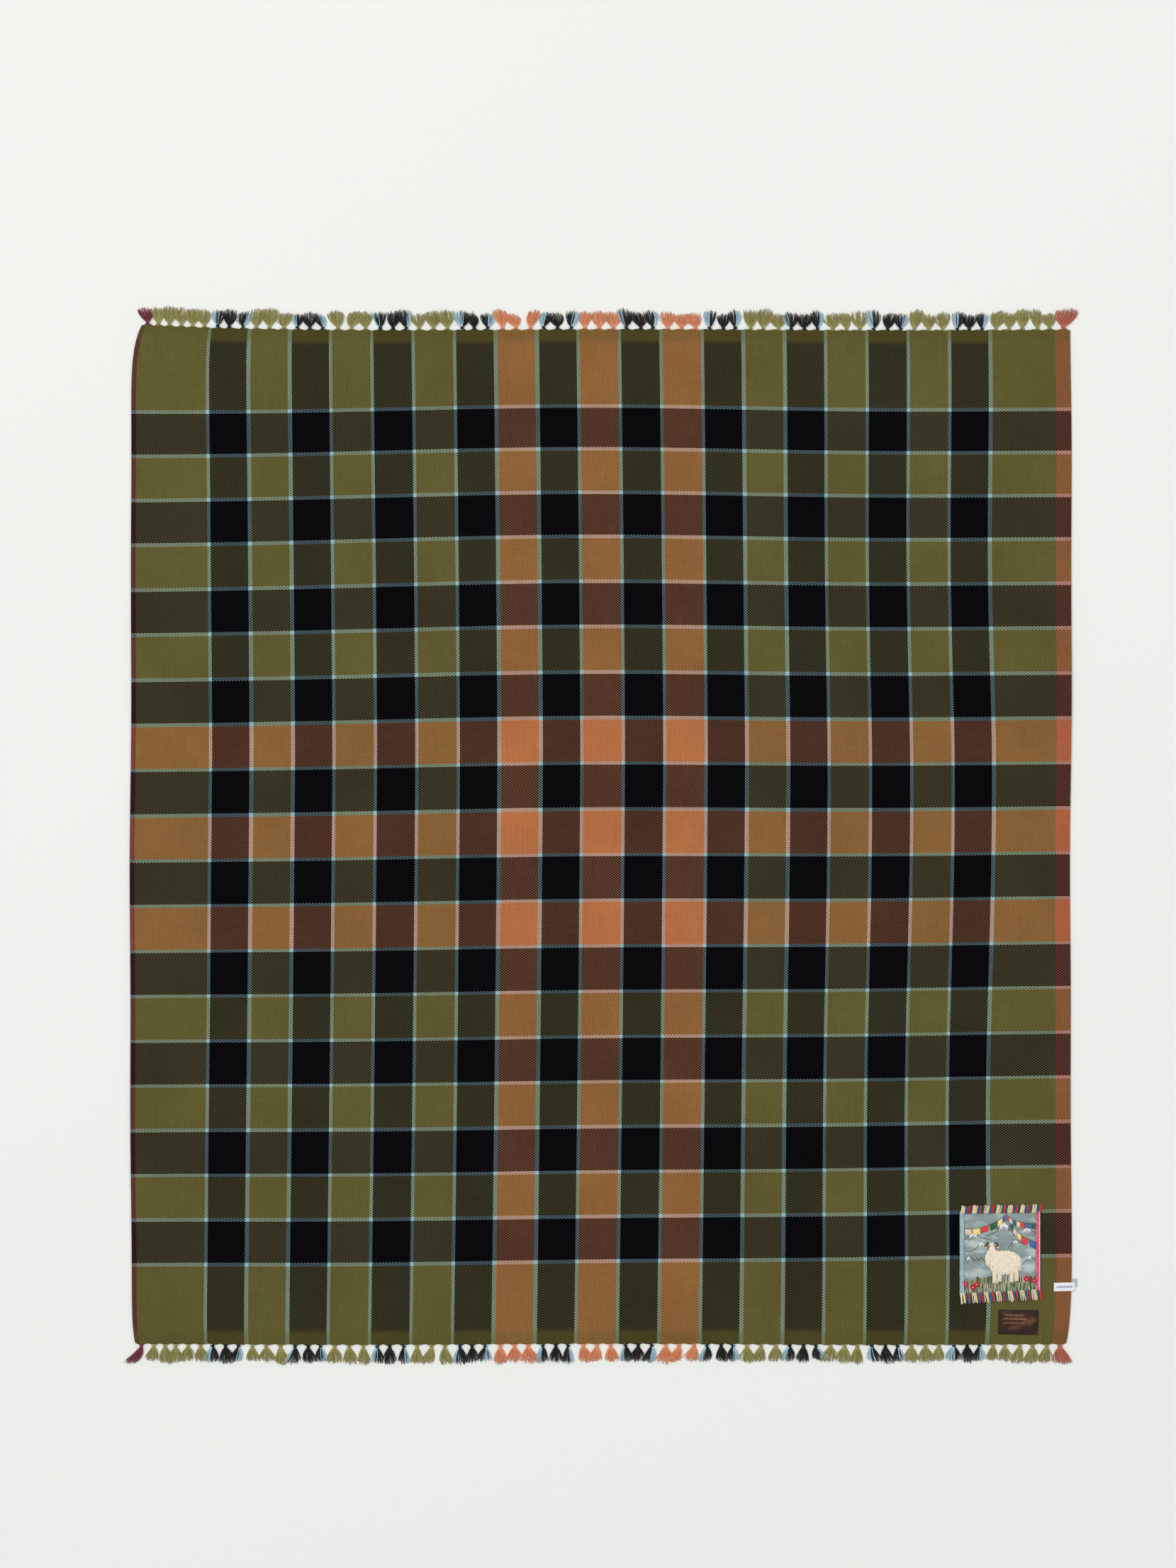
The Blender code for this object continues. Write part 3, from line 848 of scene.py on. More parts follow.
def stemStitch(rng, knots, high, radius=0.30 * mm, stitch=3.2 * mm):
    # short slanting brown stitches that overlap like a cord along a line of (p, q) knots
    runs = []
    places = [onPatch(*alongPath(knots, n / 60), high) for n in range(61)]
    length = sum((b - a).length for a, b in zip(places, places[1:]))
    count = max(2, round(length / stitch))
    for number in range(count):
        start = places[max(0, round(60 * (number - 0.25) / count))]
        end = places[min(60, round(60 * (number + 1.0) / count))]
        aside = (end - start).cross(Vector((0, 0, 1))).normalized() * radius * 0.5
        dip = Vector((0, 0, radius))
        points = [start - aside - dip, start - aside * 0.6, (start + end) / 2]
        points += [end + aside * 0.6, end + aside - dip]
        runs.append((points, radius, shaded(rng, "bark", 0.25), False))
    return runs


def flatStitch(start, end, high, radius, dye):
    # one straight stitch that rises from the ground and dips back into it
    shape = ((0.0, -radius), (0.12, 0.8 * high), (0.5, high), (0.88, 0.8 * high), (1.0, -radius))
    points = [start.lerp(end, share) + Vector((0, 0, rise)) for share, rise in shape]
    return points, radius, dye, False


def patchPiece(name, mesh, material, node, slot):
    return keepPiece(name, mesh, material, "lower_half", [node], slot)


def stitchPiece(name, runs, material, node, slot):
    patchPiece(name, spinThreads(name, runs), material, node, slot)


def satinMaterial():
    material, tree, shader = startMaterial(
        "patchSatin", {"Roughness": 0.42, "Specular IOR Level": 0.45, "Sheen Weight": 0.15},
    )
    place = objectPlace(tree)
    # the broad pale streaks are painted sheen on the satin, and the same streaks swell the bump; narrower
    # patches are painted darker
    broad = addNoise(tree, addScale(tree, place, (26.0, 62.0, 1.0)), 1.0, 3.0)
    foldsAndSheen = addRamp(tree, broad, 0.44, 0.66, 0.0, 1.0)
    narrow = addNoise(tree, addScale(tree, place, (40.0, 90.0, 1.0)), 1.0, 2.0)
    deep = addRamp(tree, narrow, 0.35, 0.6, 1.0, 0.0)
    colour = addMix(tree, foldsAndSheen, paint(118, 138, 134), paint(176, 191, 188))
    colour = addMix(tree, times(tree, deep, 0.6), colour, paint(102, 122, 119))
    threads = addNoise(tree, addScale(tree, place, (300.0, 3000.0, 1.0)), 1.0, 2.0)
    fibre = addMix(tree, times(tree, threads, 0.25), colour, paint(212, 219, 215))
    tree.links.new(fibre, shader.inputs["Base Color"])
    height = plus(tree, threads, times(tree, foldsAndSheen, 1.5))
    addBump(tree, shader, height, 0.5, 0.3 * mm)
    return material


def ribbonMaterial(name, colour, pale):
    material, tree, shader = startMaterial(
        name, {"Roughness": 0.6, "Sheen Weight": 0.2, "Specular IOR Level": 0.3},
    )
    along = splitAxes(tree, objectPlace(tree))[1]
    rib = addMath(tree, "SINE", times(tree, along, 2 * math.pi / patchWork["ribPitch"]))
    cloudy = addRamp(tree, addNoise(tree, objectPlace(tree), 160.0, 3.0), 0.3, 0.7, 0.0, 1.0)
    tree.links.new(addMix(tree, cloudy, colour, pale), shader.inputs["Base Color"])
    addBump(tree, shader, rib, 0.5, 0.15 * mm)
    return material


def groundPoint(across, along, upper):
    p = (across - patchLow.x) / (patchHigh.x - patchLow.x)
    q = (along - patchLow.y) / (patchHigh.y - patchLow.y)
    swell = noise.noise(Vector((across * 70, along * 95, 0.5))) * 0.28 * mm
    for reach in (p, 1 - p, q, 1 - q):
        swell *= easeIn(reach, 0, 0.08)
    return onPatch(p, q, max(-0.2 * mm, swell) - 0.25 * mm if upper else -0.68 * mm)


def ribbonPoint(left, right):
    # a narrow band on the patch from its lower to its upper edge, with soft edges
    def shape(across, along, upper):
        edge = min(across, 1 - across)
        crown = patchWork["ribbon"] * (0.35 + 0.65 * min(1.0, edge * 6))
        spot = onPatch(left + (right - left) * across, along, 0.05 * mm + (crown if upper else 0.0))
        spot.x += 0.25 * mm * math.sin(along * 9.0 + left * 20)
        return spot
    return shape


def buildPatchGround():
    columns = evenPlaces(patchLow.x, patchHigh.x, 1.9 * mm)
    rows = evenPlaces(patchLow.y, patchHigh.y, 1.9 * mm)
    ground = patchPiece("patchGround", layPanel("patchGround", columns, rows, groundPoint),
                        satinMaterial(), "patch_ground", "patch_satin")
    width = patchHigh.x - patchLow.x
    ribbons = []
    for label, low, high, deep, pale, slot in (
        ("Left", 0.004, patchWork["leftRibbon"] / width,
         paint(146, 170, 174), paint(168, 192, 196), "teal_ribbon"),
        ("Right", 0.988 - patchWork["rightRibbon"] / width, 0.985,
         paint(222, 58, 100), paint(236, 96, 130), "pink_ribbon"),
    ):
        name = "patchRibbon" + label
        mesh = layPanel(name, evenPlaces(0, 1, 0.1), evenPlaces(0, 1, 1 / 70), ribbonPoint(low, high))
        material = ribbonMaterial("ribbon" + label, deep, pale)
        ribbons.append(patchPiece(name, mesh, material, f"patch_ribbon_{label.lower()}", slot))
    print("patch ground", len(ground.data.polygons), "faces")
    return ground, ribbons


def buildPatchFringe(material):
    rng = random.Random(patchWork["seed"])
    order = ("cream", "yellow", "blue", "red", "green")
    count = round((patchHigh.x - patchLow.x) / patchWork["fringePitch"])
    for side, q, end, reach in (("top", 0.995, 1, 12.5 * mm), ("bottom", 0.005, -1, 16.0 * mm)):
        runs = []
        for number in range(count):
            p = (number + 0.5) / count
            name = order[(number // 2) % len(order)]
            if name == "red" and rng.random() < 0.35:
                name = "crimson"
            dye = shaded(rng, name, 0.15)
            length = reach * rng.uniform(0.90, 1.04)
            lean = rng.uniform(0.10, 0.26)
            curve = rng.uniform(-0.5, 0.9) * mm
            base = onPatch(p, q, 0.15 * mm + (number % 2) * 0.25 * mm)
            points = []
            for step in range(8):
                share = step / 7
                x = lean * length * share + curve * math.sin(math.pi * share)
                y = end * (length * share - 1.6 * mm)
                z = 0.5 * mm * math.sin(math.pi * min(1, share * 1.3))
                points.append(base + Vector((x, y, z)))
            thick = patchWork["fringeYarn"] * rng.uniform(0.92, 1.08)
            runs.append((points[:], [thick * 0.8] + [thick] * 6 + [thick * 0.8], dye, False))
            # the second ply lies beside it and crosses over
            for step, point in enumerate(points):
                points[step] = point + Vector((0.7 * mm * math.cos(2.4 * step), 0, 0.35 * mm))
            runs.append((points, thick * 0.62, mixPaint(dye, flossDyes["cream"], 0.05), False))
        name = "patchFringe" + side.capitalize()
        stitchPiece(name, runs, material, f"patch_fringe_{side}", "patch_yarns")


peaks = (
    # where each peak stands, how wide and deep its snow is, and the ridge on both sides
    {"top": (0.165, 0.735), "snow": (0.095, 0.050),
     "left": ((-0.035, -0.02), (-0.10, -0.07)),
     "right": ((0.055, -0.02), (0.12, -0.05), (0.20, -0.075))},
    {"top": (0.545, 0.860), "snow": (0.105, 0.085),
     "left": ((-0.06, -0.06), (-0.12, -0.12), (-0.24, -0.16)),
     "right": ((0.06, -0.07), (0.13, -0.16))},
    {"top": (0.830, 0.790), "snow": (0.090, 0.055),
     "left": ((-0.05, -0.02), (-0.12, 0.0)),
     "right": ((0.05, -0.03), (0.11, -0.06))},
    {"top": (0.268, 0.625), "snow": (0.060, 0.050),
     "left": ((-0.05, -0.05), (-0.12, -0.10), (-0.19, -0.10)),
     "right": ((0.03, -0.04), (0.06, -0.07))},
    {"top": (0.690, 0.635), "snow": (0.060, 0.040),
     "left": ((-0.04, -0.03), (-0.09, -0.075)),
     "right": ((0.05, -0.02), (0.11, -0.05))},
    {"top": (0.110, 0.455), "snow": (0.040, 0.045),
     "left": ((-0.02, -0.02), (-0.05, -0.04)),
     "right": ((0.04, -0.01), (0.07, -0.05), (0.105, -0.015), (0.135, -0.05), (0.155, -0.01),
               (0.20, -0.07))},
    {"top": (0.862, 0.440), "snow": (0.045, 0.045),
     "left": ((-0.03, -0.04), (-0.08, -0.10)),
     "right": ((0.03, -0.02), (0.08, -0.05))},
)


def buildMountains(material):
    rng = random.Random(patchWork["seed"] + 1)
    runs = []
    for peak in peaks:
        px, py = peak["top"]
        for side in ("left", "right"):
            knots = [(px, py)] + [(px + dx, py + dy) for dx, dy in peak[side]]
            runs += stemStitch(rng, knots, 0.35 * mm)
            # a few pale stitches shade the slope under each ridge
            for number in range(9):
                p, q = alongPath(knots, rng.uniform(0.15, 1.0))
                q -= rng.uniform(0.015, 0.07)
                if not patchWork["sceneLeft"] < p < 0.90:
                    continue
                long = rng.uniform(0.012, 0.034)
                start = onPatch(p, q, 0.1 * mm)
                end = onPatch(p + long, q + rng.uniform(-0.004, 0.004), 0.1 * mm)
                shade = mixPaint(flossDyes["bark"], flossDyes["straw"], rng.uniform(0.2, 0.6))
                runs.append(flatStitch(start, end, 0.1 * mm, 0.13 * mm, shade))
        wide, deep = peak["snow"]
        count = round(wide * 120 / 0.72)
        for number in range(count):
            across = fromMiddle(number, count)
            p = px + across * wide / 2
            crest = py + 0.008 - abs(across) * deep * 0.55
            ripple = 0.5 + 0.5 * math.cos(number * 2.1)
            drip = deep * (0.38 + 0.62 * ripple * (1 - 0.35 * abs(across)))
            start = onPatch(p, crest, 0.5 * mm)
            end = onPatch(p + rng.uniform(-0.003, 0.003), crest - drip, 0.5 * mm)
            runs.append(flatStitch(start, end, 0.2 * mm, 0.42 * mm, flossDyes["white"]))
    stitchPiece("patchMountains", runs, material, "patch_mountains", "brown_thread")


garlands = (
    # the cord's knots and the flags that hang from it
    {"cord": ((0.058, 0.800), (0.17, 0.795), (0.30, 0.820), (0.43, 0.868), (0.52, 0.920), (0.577, 0.965)),
     "flags": ("blush", "yellow", "red", "green", "yellow", "blue"), "drop": 9.0 * mm},
    {"cord": ((0.577, 0.965), (0.64, 0.905), (0.72, 0.874), (0.82, 0.855), (0.945, 0.845)),
     "flags": ("red", "blush", "blue", "yellow", "red", "blue", "green"), "drop": 8.0 * mm},
    {"cord": ((0.590, 0.940), (0.64, 0.840), (0.71, 0.750), (0.80, 0.675), (0.945, 0.610)),
     "flags": ("", "green", "blush", "yellow", "red", "blue"), "drop": 10.0 * mm},
)


def buildBunting(material):
    rng = random.Random(patchWork["seed"] + 2)
    runs = []
    for garland in garlands:
        cord = garland["cord"]
        runs += stemStitch(rng, cord, 1.25 * mm, stitch=4.0 * mm)
        flags = garland["flags"]
        for number, name in enumerate(flags):
            if not name:
                continue
            ends = (alongPath(cord, (number + gap) / len(flags)) for gap in (0.10, 0.92))
            left, right = (onPatch(p, q, 1.0 * mm) for p, q in ends)
            count = max(5, round((right - left).length / (0.68 * mm)))
            tilt = Vector((rng.uniform(-0.10, 0.12), -1.0, 0)).normalized()
            drop = garland["drop"] * rng.uniform(0.92, 1.06)
            if abs(right.y - left.y) > abs(right.x - left.x) * 0.8:
                drop *= 0.8
            for line in range(count):
                start = left.lerp(right, (line + 0.5) / count)
                end = start + tilt * drop * rng.uniform(0.95, 1.03)
                dye = shaded(rng, name, 0.10, "white")
                runs.append(flatStitch(start, end, 0.25 * mm, patchWork["floss"], dye))
    stitchPiece("patchBunting", runs, material, "patch_bunting", "flag_thread")


sheep = {
    "body": (0.560, 0.385, 0.195, 0.145),
    "neck": (0.400, 0.450, 0.085, 0.110),
    "head": (0.398, 0.560, 0.050, 0.060),
    "legs": ((0.430, 0.112), (0.492, 0.124), (0.640, 0.112), (0.700, 0.122)),
    "legHalf": 0.026,
    "legTop": 0.31,
    "legRuns": 7,
    "faceRuns": 13,
    "tuftStep": 1.6 * mm,
    "wool": (paint(251, 240, 218), paint(238, 222, 194)),
}


def insideSheep(p, q):
    # how deep in the fleece a place is, 0 outside it
    depth = 0.0
    for part in ("body", "neck"):
        x, y, wide, high = sheep[part]
        depth = max(depth, 1 - ((p - x) / wide) ** 2 - ((q - y) / high) ** 2)
    return depth


def tuft(rng, p, q, base, length, lean, dye):
    # a lock of wool, thick at its root and curling to a point
    root = onPatch(p, q)
    curl = rng.uniform(-1, 1)
    points, radii = [], []
    for step in range(6):
        share = step / 5
        x = lean * length * share + curl * 0.5 * mm * math.sin(3.0 * share)
        z = base + 0.55 * mm * math.sin(math.pi * share ** 0.8) - 0.5 * mm * share
        points.append(root + Vector((x, -length * share, max(z, 0.25 * mm))))
        radii.append((0.62 + 0.25 * math.sin(math.pi * share)) * (1 - 0.72 * share ** 2) * mm)
    return points, radii, [mixPaint(dye, flossDyes["white"], 0.18 * n / 5) for n in range(6)], False


def sheepLegs(rng):
    light, dark = sheep["wool"]
    runs = []
    for middle, low in sheep["legs"]:
        for number in range(sheep["legRuns"]):
            off = sheep["legHalf"] * fromMiddle(number, sheep["legRuns"])
            foot = low + rng.uniform(-0.003, 0.003)
            start = onPatch(middle + off, sheep["legTop"], 0.5 * mm)
            end = onPatch(middle + off * 0.97, foot, 0.4 * mm)
            runs.append(flatStitch(start, end, 0.45 * mm, 0.46 * mm, mixPaint(light, dark, rng.random())))
            hoof = onPatch(middle + off * 0.97, foot - 0.012, 0.4 * mm)
            runs.append(flatStitch(end, hoof, 0.15 * mm, 0.40 * mm, flossDyes["charcoal"]))
    return runs


def sheepFleece(rng):
    # padding of long flat stitches, and the locks over it
    light, dark = sheep["wool"]
    size = patchHigh - patchLow
    runs = []
    for number in range(34):
        q = 0.185 + 0.365 * number / 34
        inside = [n / 200 for n in range(50, 160) if insideSheep(n / 200, q) > 0.22]
        if len(inside) > 3:
            start, end = (onPatch(p, q, 0.4 * mm) for p in (inside[0], inside[-1]))
            runs.append(flatStitch(start, end, 1.0 * mm, 0.95 * mm, mixPaint(light, dark, 0.8)))
    rows = int(0.36 * size.y / sheep["tuftStep"])
    for row in range(rows):
        q = 0.20 + 0.36 * row / rows
        for column in range(int(0.52 * size.x / sheep["tuftStep"])):
            p = 0.30 + (column + 0.5 * (row % 2)) * sheep["tuftStep"] / size.x
            p += rng.uniform(-0.006, 0.006)
            spot = q + rng.uniform(-0.006, 0.006)
            depth = insideSheep(p, spot)
            if depth <= 0.0:
                continue
            base = 0.6 * mm + 1.5 * mm * math.sqrt(depth)
            lean = 0.10 + 0.42 * easeIn(p, 0.50, 0.76) - 0.15 * easeIn(0.42 - p, 0.0, 0.1)
            length = rng.uniform(4.6, 7.4) * mm * (1 - 0.25 * easeIn(0.34 - spot, 0.0, 0.12))
            runs.append(tuft(rng, p, spot, base, length, lean, mixPaint(light, dark, rng.random())))
    return runs


def sheepFace(rng):
    light, dark = sheep["wool"]
    x, y, wide, high = sheep["head"]
    runs = []
    for number in range(sheep["faceRuns"]):
        across = fromMiddle(number, sheep["faceRuns"])
        curve = math.sqrt(1 - across ** 2)
        start = onPatch(x + across * wide, y + curve * high, 1.5 * mm)
        end = onPatch(x + across * wide * 0.50, y - curve * high * 1.35, 1.5 * mm)
        face = mixPaint(light, flossDyes["blush"], rng.uniform(0, 0.4))
        runs.append(flatStitch(start, end, 0.9 * mm * curve, 0.46 * mm, face))
    for side in (-1, 1):
        ear = []
        for step in range(4):
            ear.append(onPatch(x + side * (wide * 0.9 + 0.018 * step), y + 0.012 - 0.006 * step, 1.9 * mm))
        runs.append((ear, [0.5 * mm, 0.95 * mm, 0.85 * mm, 0.35 * mm], mixPaint(light, dark, 0.7), False))
        horn = []
        for step in range(13):
            turn = 5.4 * step / 12
            grow = 0.043 * (1 - 0.055 * step)
            out = 0.040 + grow * math.sin(turn) * 0.9
            up = 0.040 + grow * (math.cos(turn) - 0.35) * 0.8
            horn.append(onPatch(x + side * out, y + up, 2.5 * mm))
        runs.append((horn, [1.05 * mm - 0.06 * mm * n for n in range(13)], flossDyes["bark"], False))
        eye = onPatch(x + side * wide * 0.44, y + 0.004, 2.5 * mm)
        runs.append(([eye, eye + Vector((0.3 * mm, 0, 0))], 0.5 * mm, flossDyes["charcoal"], False))
        nostril = onPatch(x + side * 0.007, y - high * 0.98, 2.5 * mm)
        slant = Vector((-0.5 * mm * side, 0.5 * mm, 0))
        runs.append(([nostril, nostril + slant], 0.22 * mm, flossDyes["bark"], False))
    for number in range(26):
        # short curls cap the brow
        p = x + rng.uniform(-0.034, 0.034)
        q = y + high * rng.uniform(0.55, 1.15)
        length = rng.uniform(1.8, 2.8) * mm
        runs.append(tuft(rng, p, q, 2.2 * mm, length, rng.uniform(-0.6, 0.6), light))
    return runs


def buildSheep(material):
    rng = random.Random(patchWork["seed"] + 3)
    runs = sheepLegs(rng) + sheepFleece(rng) + sheepFace(rng)
    stitchPiece("patchSheep", runs, material, "patch_animal", "cream_wool")


meadow = {
    # foot and crest of each row of grass
    "rows": ((0.105, 0.185), (0.055, 0.125), (0.004, 0.070)),
    "blades": 84,
    "grasses": ("leaf", "cream", "moss", "straw", "leaf", "cream", "straw", "green", "leaf", "bark"),
    # place and size of each flower
    "flowers": (
        (0.074, 0.130, 1.15), (0.208, 0.118, 1.3), (0.160, 0.085, 1.3), (0.825, 0.160, 1.4),
        (0.918, 0.135, 1.2),
    ),
    # place, floss and radius of each line of running stitches that holds a ribbon
    "seams": ((0.056, "navy", 0.16), (0.934, "navy", 0.14), (0.986, "white", 0.55), (0.998, "navy", 0.22)),
    "seamStitches": 46,
}


def buildMeadow(material):
    rng = random.Random(patchWork["seed"] + 4)
    names = meadow["grasses"]
    left, right = patchWork["sceneLeft"], patchWork["sceneRight"]
    runs = []
    count = meadow["blades"]
    for row, (low, high) in enumerate(meadow["rows"]):
        for number in range(count):
            p = left + (right - left) * (number + 0.5) / count + rng.uniform(-0.002, 0.002)
            crest = high + 0.022 * noise.noise(Vector((p * 9.0, row * 3.0, 1.0)))
            crest += rng.uniform(-0.010, 0.010)
            if row == 0 and 0.20 < p < 0.42:
                crest += 0.018
            name = names[rng.randrange(len(names))] if rng.random() < 0.4 else names[(number + row) % 4]
            dye = shaded(rng, name, 0.15)
            lift = 0.30 * mm + 0.1 * mm * (2 - row)
            start = onPatch(p, crest, lift)
            end = onPatch(p + rng.uniform(-0.003, 0.003), low, lift)
            runs.append(flatStitch(start, end, 0.22 * mm, 0.40 * mm, dye))
    for p, q, size in meadow["flowers"]:
        middle = onPatch(p, q, 1.5 * mm)
        for petal in range(6):
            turn = 2 * math.pi * petal / 6 + 0.3
            heart = middle + Vector((math.cos(turn), math.sin(turn), 0)) * 1.75 * mm * size
            dye = mixPaint(flossDyes["crimson"], flossDyes["red"], rng.random())
            runs.append((ringOf(heart, 0.8 * mm * size, 8), 0.72 * mm * size, dye, True))
        top = middle + Vector((0, 0, 0.65 * mm))
        runs.append((ringOf(top, 0.45 * mm, 6), 0.45 * mm, flossDyes["white"], True))
    count = meadow["seamStitches"]
    for p, name, radius in meadow["seams"]:
        reach = (0.0, 1.0) if name == "white" else (0.15, 0.8)
        for number in range(count):
            start, end = (onPatch(p, (number + share) / count, 0.5 * mm) for share in reach)
            middle = start.lerp(end, 0.5) + Vector((0, 0, 0.2 * mm))
            runs.append(([start, middle, end], radius * mm, flossDyes[name], False))
    stitchPiece("patchMeadow", runs, material, "patch_meadow", "grass_thread")


# ---- labels

def stripeMask(tree, across, along, height, soft, reach):
    # 1 on a line at this height between two ends, with a soft rim
    near = addMath(tree, "ABSOLUTE", minus(tree, along, height))
    mask = addRamp(tree, near, *soft, 1.0, 0.0)
    mask = times(tree, mask, addMath(tree, "GREATER_THAN", across, reach[0]))
    return times(tree, mask, addMath(tree, "LESS_THAN", across, reach[1]))


def leatherMaterial():
    material, tree, shader = startMaterial("gildedLeather", {"Roughness": 0.40, "Specular IOR Level": 0.2})
    place = objectPlace(tree)
    # lighter cloudy patches over the dark brown are painted sheen
    blotches = addNoise(tree, addScale(tree, place, (1.0, 2.2, 1.0)), 42.0, 3.0)
    sheenPatches = addRamp(tree, blotches, 0.42, 0.68, 0.0, 1.0)
    grain = tree.nodes.new("ShaderNodeTexVoronoi")
    setInputs(grain, tree, {"Vector": place, "Scale": 900.0})
    colour = addMix(tree, sheenPatches, paint(50, 29, 18), paint(100, 62, 38))
    across, along = splitAxes(tree, ownMap(tree, "OFBake"))[:2]
    # darker all round its rim
    rims = [addMath(tree, "MINIMUM", axis, minus(tree, 1.0, axis)) for axis in (across, along)]
    rim = addMath(tree, "MINIMUM", times(tree, rims[0], 1.6), rims[1])
    dark = addRamp(tree, rim, 0.02, 0.22, 0.75, 0.0)
    colour = addMix(tree, dark, colour, paint(34, 21, 16))
    # three plain gilt lines
    lines = 0.0
    for height, left, right in ((0.79, 0.12, 0.62), (0.63, 0.12, 0.70), (0.47, 0.12, 0.66)):
        lines = plus(tree, lines, stripeMask(tree, across, along, height, (0.012, 0.026), (left, right)))
    worn = addRamp(tree, addNoise(tree, place, 700.0, 2.0), 0.35, 0.55, 0.25, 1.0)
    gilt = times(tree, lines, worn)
    tree.links.new(addMix(tree, gilt, colour, paint(140, 108, 78)), shader.inputs["Base Color"])
    height = minus(tree, grain.outputs["Distance"], times(tree, lines, 0.8))
    addBump(tree, shader, height, 0.35, 0.25 * mm)
    return material


def leatherPoint(across, along, upper):
    # a slab with rounded corners and softened rims, turned a hair clockwise
    half = (leatherHigh - leatherLow) / 2
    middle = (leatherHigh + leatherLow) / 2
    x, y = across * half.x, along * half.y
    corner = 2.6 * mm
    over = Vector((max(0.0, abs(x) - half.x + corner), max(0.0, abs(y) - half.y + corner), 0))
    if over.length > corner or (over.x > 0 and over.y > 0):
        fit = corner * max(over.x, over.y) / max(over.length, 1e-9)
        over = over * (fit / corner)
        x = math.copysign(half.x - corner + over.x, x) if over.x > 0 else x
        y = math.copysign(half.y - corner + over.y, y) if over.y > 0 else y
    rim = min(half.x - abs(x), half.y - abs(y))
    soft = 1 - (1 - min(1.0, rim / (0.9 * mm))) ** 2
    swell = 0.12 * mm * noise.noise(Vector((x * 60, y * 60, 0)))
    z = leatherLow.z + (0.35 * mm + 0.5 * mm * soft + swell if upper else 0.0)
    x *= 1 + 1.1 * (y - half.y) * (x > 0)  # the foot is a little narrower
    return Vector((middle.x + x + 0.012 * y, middle.y + y - 0.014 * x + 0.6 * mm, z))


def tapeMaterial(name, colour, pattern):
    # woven white tape; the zigzag stands where a care label would be printed
    material, tree, shader = startMaterial(
        name, {"Roughness": 0.75, "Sheen Weight": 0.2, "Specular IOR Level": 0.3},
    )
    across, along = splitAxes(tree, ownMap(tree, "OFBake"))[:2]
    if pattern:
        wave = addMath(tree, "PINGPONG", times(tree, across, 26.0), 1.0)
        level = plus(tree, 0.36, times(tree, wave, 0.26))
        mask = stripeMask(tree, across, along, level, (0.05, 0.08), (0.12, 0.88))
        tree.links.new(addMix(tree, mask, colour, paint(52, 60, 120)), shader.inputs["Base Color"])
    else:
        shader.inputs["Base Color"].default_value = colour
    threads = addMath(tree, "SINE", times(tree, along, 150.0))
    addBump(tree, shader, threads, 0.3, 0.1 * mm)
    return material


def tapePoint(across, along, upper):
    # the leaf lies on the cloth, turns down round the selvedge and ends in the air
    low, high = corners("edge_label")
    thick = 0.45 * mm
    x = low.x + (high.x - low.x) * across
    y = low.y + (high.y - low.y) * along + 0.7 * mm * (across - 0.5)
    drop = 1.9 * mm * easeIn(x, clothHigh.x - 3 * mm, high.x)
    flutter = 0.35 * mm * math.sin(7 * across + 1.0) * easeIn(across, 0.1, 0.5)
    return Vector((x, y, high.z + 0.1 * mm + flutter - drop - (0.0 if upper else thick)))


def backLeafPoint(across, along, upper):
    low, high = corners("edge_label")
    x = clothHigh.x + 0.6 * mm + 8.4 * mm * across
    y = low.y + 5.4 * mm + (high.y - low.y) * 0.92 * along + 1.2 * mm * across
    return Vector((x, y, 0.9 * mm + 0.25 * mm * math.sin(6 * along) + (0.4 * mm if upper else 0.0)))


def buildLabels():
    mesh = layPanel("leatherLabel", evenPlaces(-1, 1, 1 / 26), evenPlaces(-1, 1, 1 / 17), leatherPoint)
    patchPiece("leatherLabel", mesh, leatherMaterial(), "leather_label", "label_leather")
    front = layPanel("edgeLabel", evenPlaces(0, 1, 1 / 26), evenPlaces(0, 1, 1 / 10), tapePoint)
    white = tapeMaterial("whiteTape", paint(236, 236, 240), True)
    patchPiece("edgeLabel", front, white, "edge_label", "white_tape")
    # the leaf that turns under the selvedge is the same white tape, painted grey for the shade it lies in
    back = layPanel("edgeLabelBack", evenPlaces(0, 1, 1 / 8), evenPlaces(0, 1, 1 / 10), backLeafPoint)
    tapeInShade = tapeMaterial("whiteTapeInShade", paint(176, 182, 196), False)
    keepPiece("edgeLabelBack", back, tapeInShade, "lower_half", slot="white_tape")
    print("labels done")


# ---- floor, light and camera

view = {
    "distance": 6.0,
    "frameHeight": 2.3354,
    "sensor": 36.0,
    "offset": (-19.0 * mm, 77.6 * mm),
}


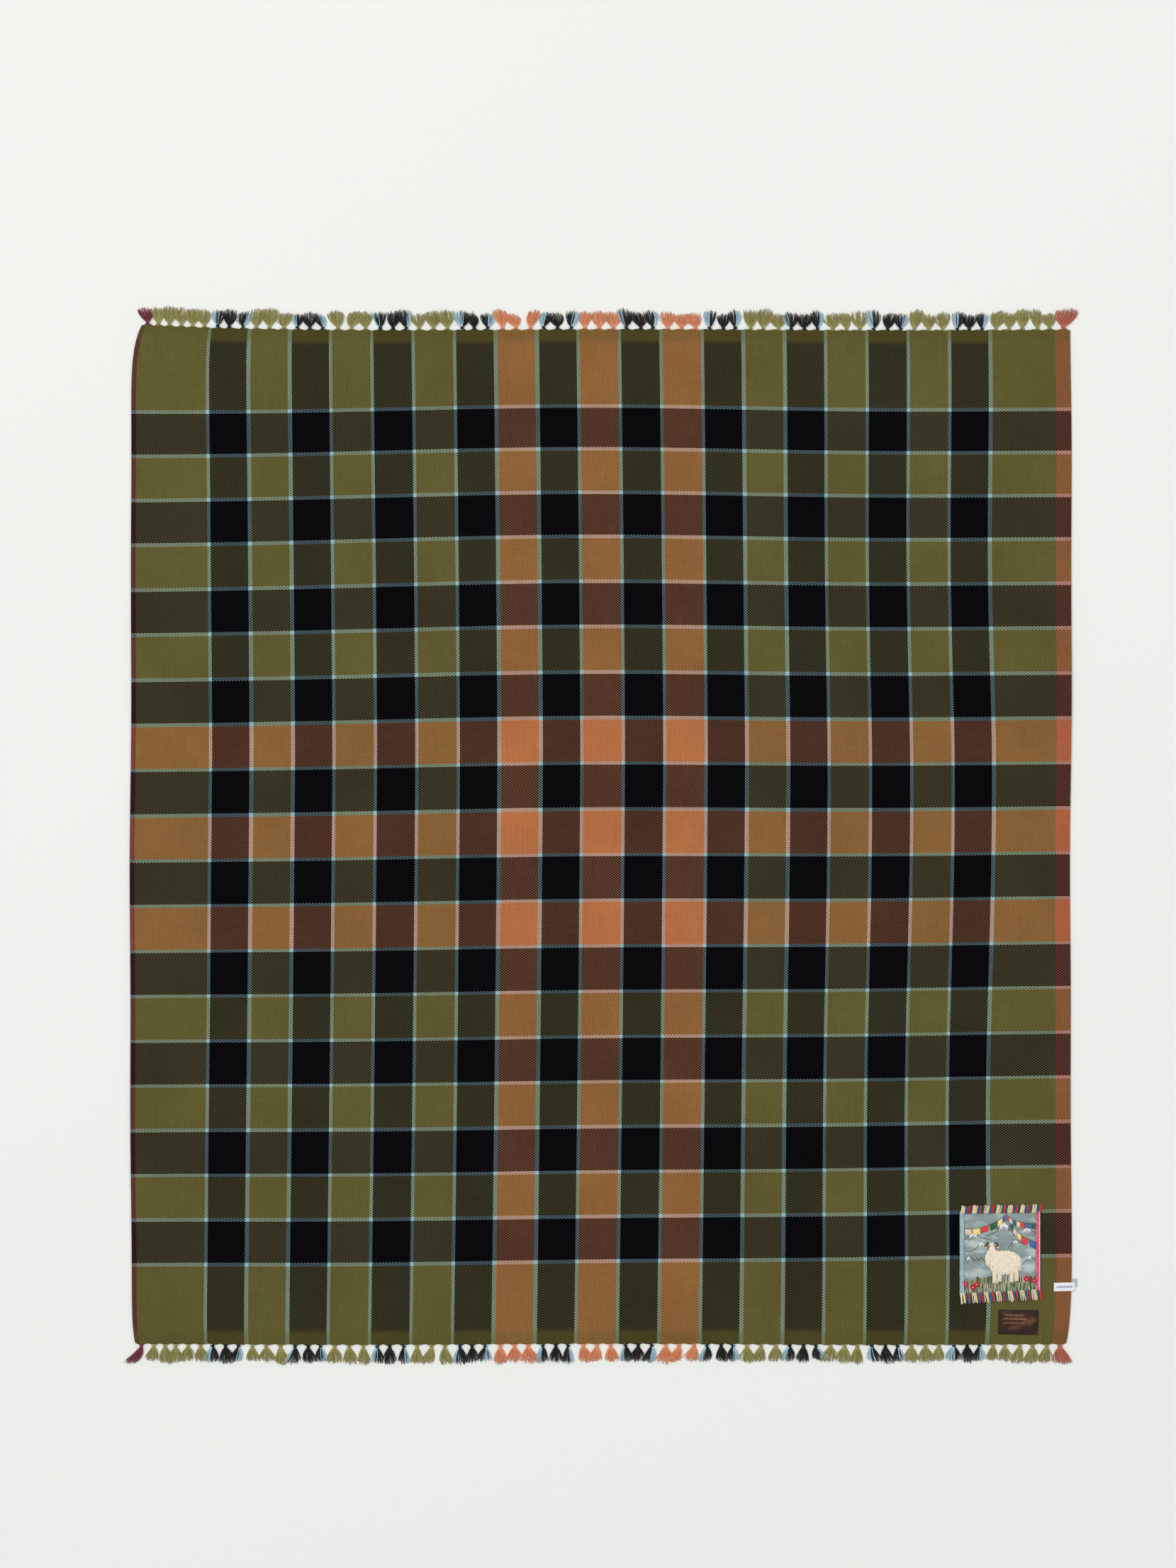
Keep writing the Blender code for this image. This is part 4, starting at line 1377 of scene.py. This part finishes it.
def setStage():
    bm = bmesh.new()
    bmesh.ops.create_grid(bm, x_segments=1, y_segments=1, size=9.0)
    bmesh.ops.translate(bm, verts=bm.verts, vec=(0, 0, -0.2 * mm))
    floorMesh = meshFrom(bm, "floor")
    floor = bpy.data.objects.new("floor", floorMesh)
    bpy.context.collection.objects.link(floor)
    tone = {"Base Color": paint(238, 238, 233), "Roughness": 0.85}
    floorMesh.materials.append(startMaterial("paleFloor", tone)[0])
    world = bpy.data.worlds.new("studio")
    world.use_nodes = True
    setInputs(world.node_tree.nodes["Background"], world.node_tree, {0: (0.96, 0.98, 1.0, 1.0), 1: 0.62})
    bpy.context.scene.world = world
    for name, place, size, power in (
        ("keyLight", (-5.2, 4.4, 8.6), 3.6, 420.0),
        ("fillLight", (5.0, 1.6, 9.0), 5.0, 180.0),
    ):
        lamp = bpy.data.lights.new(name, "AREA")
        lamp.shape = "DISK"
        lamp.size = size
        lamp.energy = power
        holder = bpy.data.objects.new(name, lamp)
        holder.location = place
        holder.rotation_euler = (-Vector(place)).to_track_quat("-Z", "Y").to_euler()
        bpy.context.collection.objects.link(holder)
    lens = bpy.data.cameras.new("camera")
    lens.sensor_width = view["sensor"]
    lens.lens = view["sensor"] * view["distance"] / view["frameHeight"]
    lens.clip_end = 50.0
    camera = bpy.data.objects.new("camera", lens)
    offX, offY = view["offset"]
    camera.location = (clothMiddle.x + offX, clothMiddle.y + offY, view["distance"])
    bpy.context.collection.objects.link(camera)
    bpy.context.scene.camera = camera
    bpy.context.scene.view_settings.view_transform = "Standard"
    print("stage set")


# ---- build

setStage()
yarnMaterials = {kind: yarnMaterial(kind.split("_")[0] + "Yarn") for kind in fringeDyes if kind != "blue"}
cloth = buildCloth()
topFringe = buildFringe("top", 1)
bottomFringe = buildFringe("bottom", -1)

patchGround, ribbons = buildPatchGround()
floss = yarnMaterial("embroideryFloss", 1600.0, 0.35, 0.6, 0.2, 0.12 * mm)
buildPatchFringe(yarnMaterial("fringeYarn", 1100.0, 0.45, 0.85, 0.15, 0.2 * mm))
buildMountains(floss)
buildBunting(floss)
buildSheep(yarnMaterial("fleece", 1300.0, 0.4, 0.9, 0.2, 0.2 * mm))
buildMeadow(floss)
print("patch done")
buildLabels()
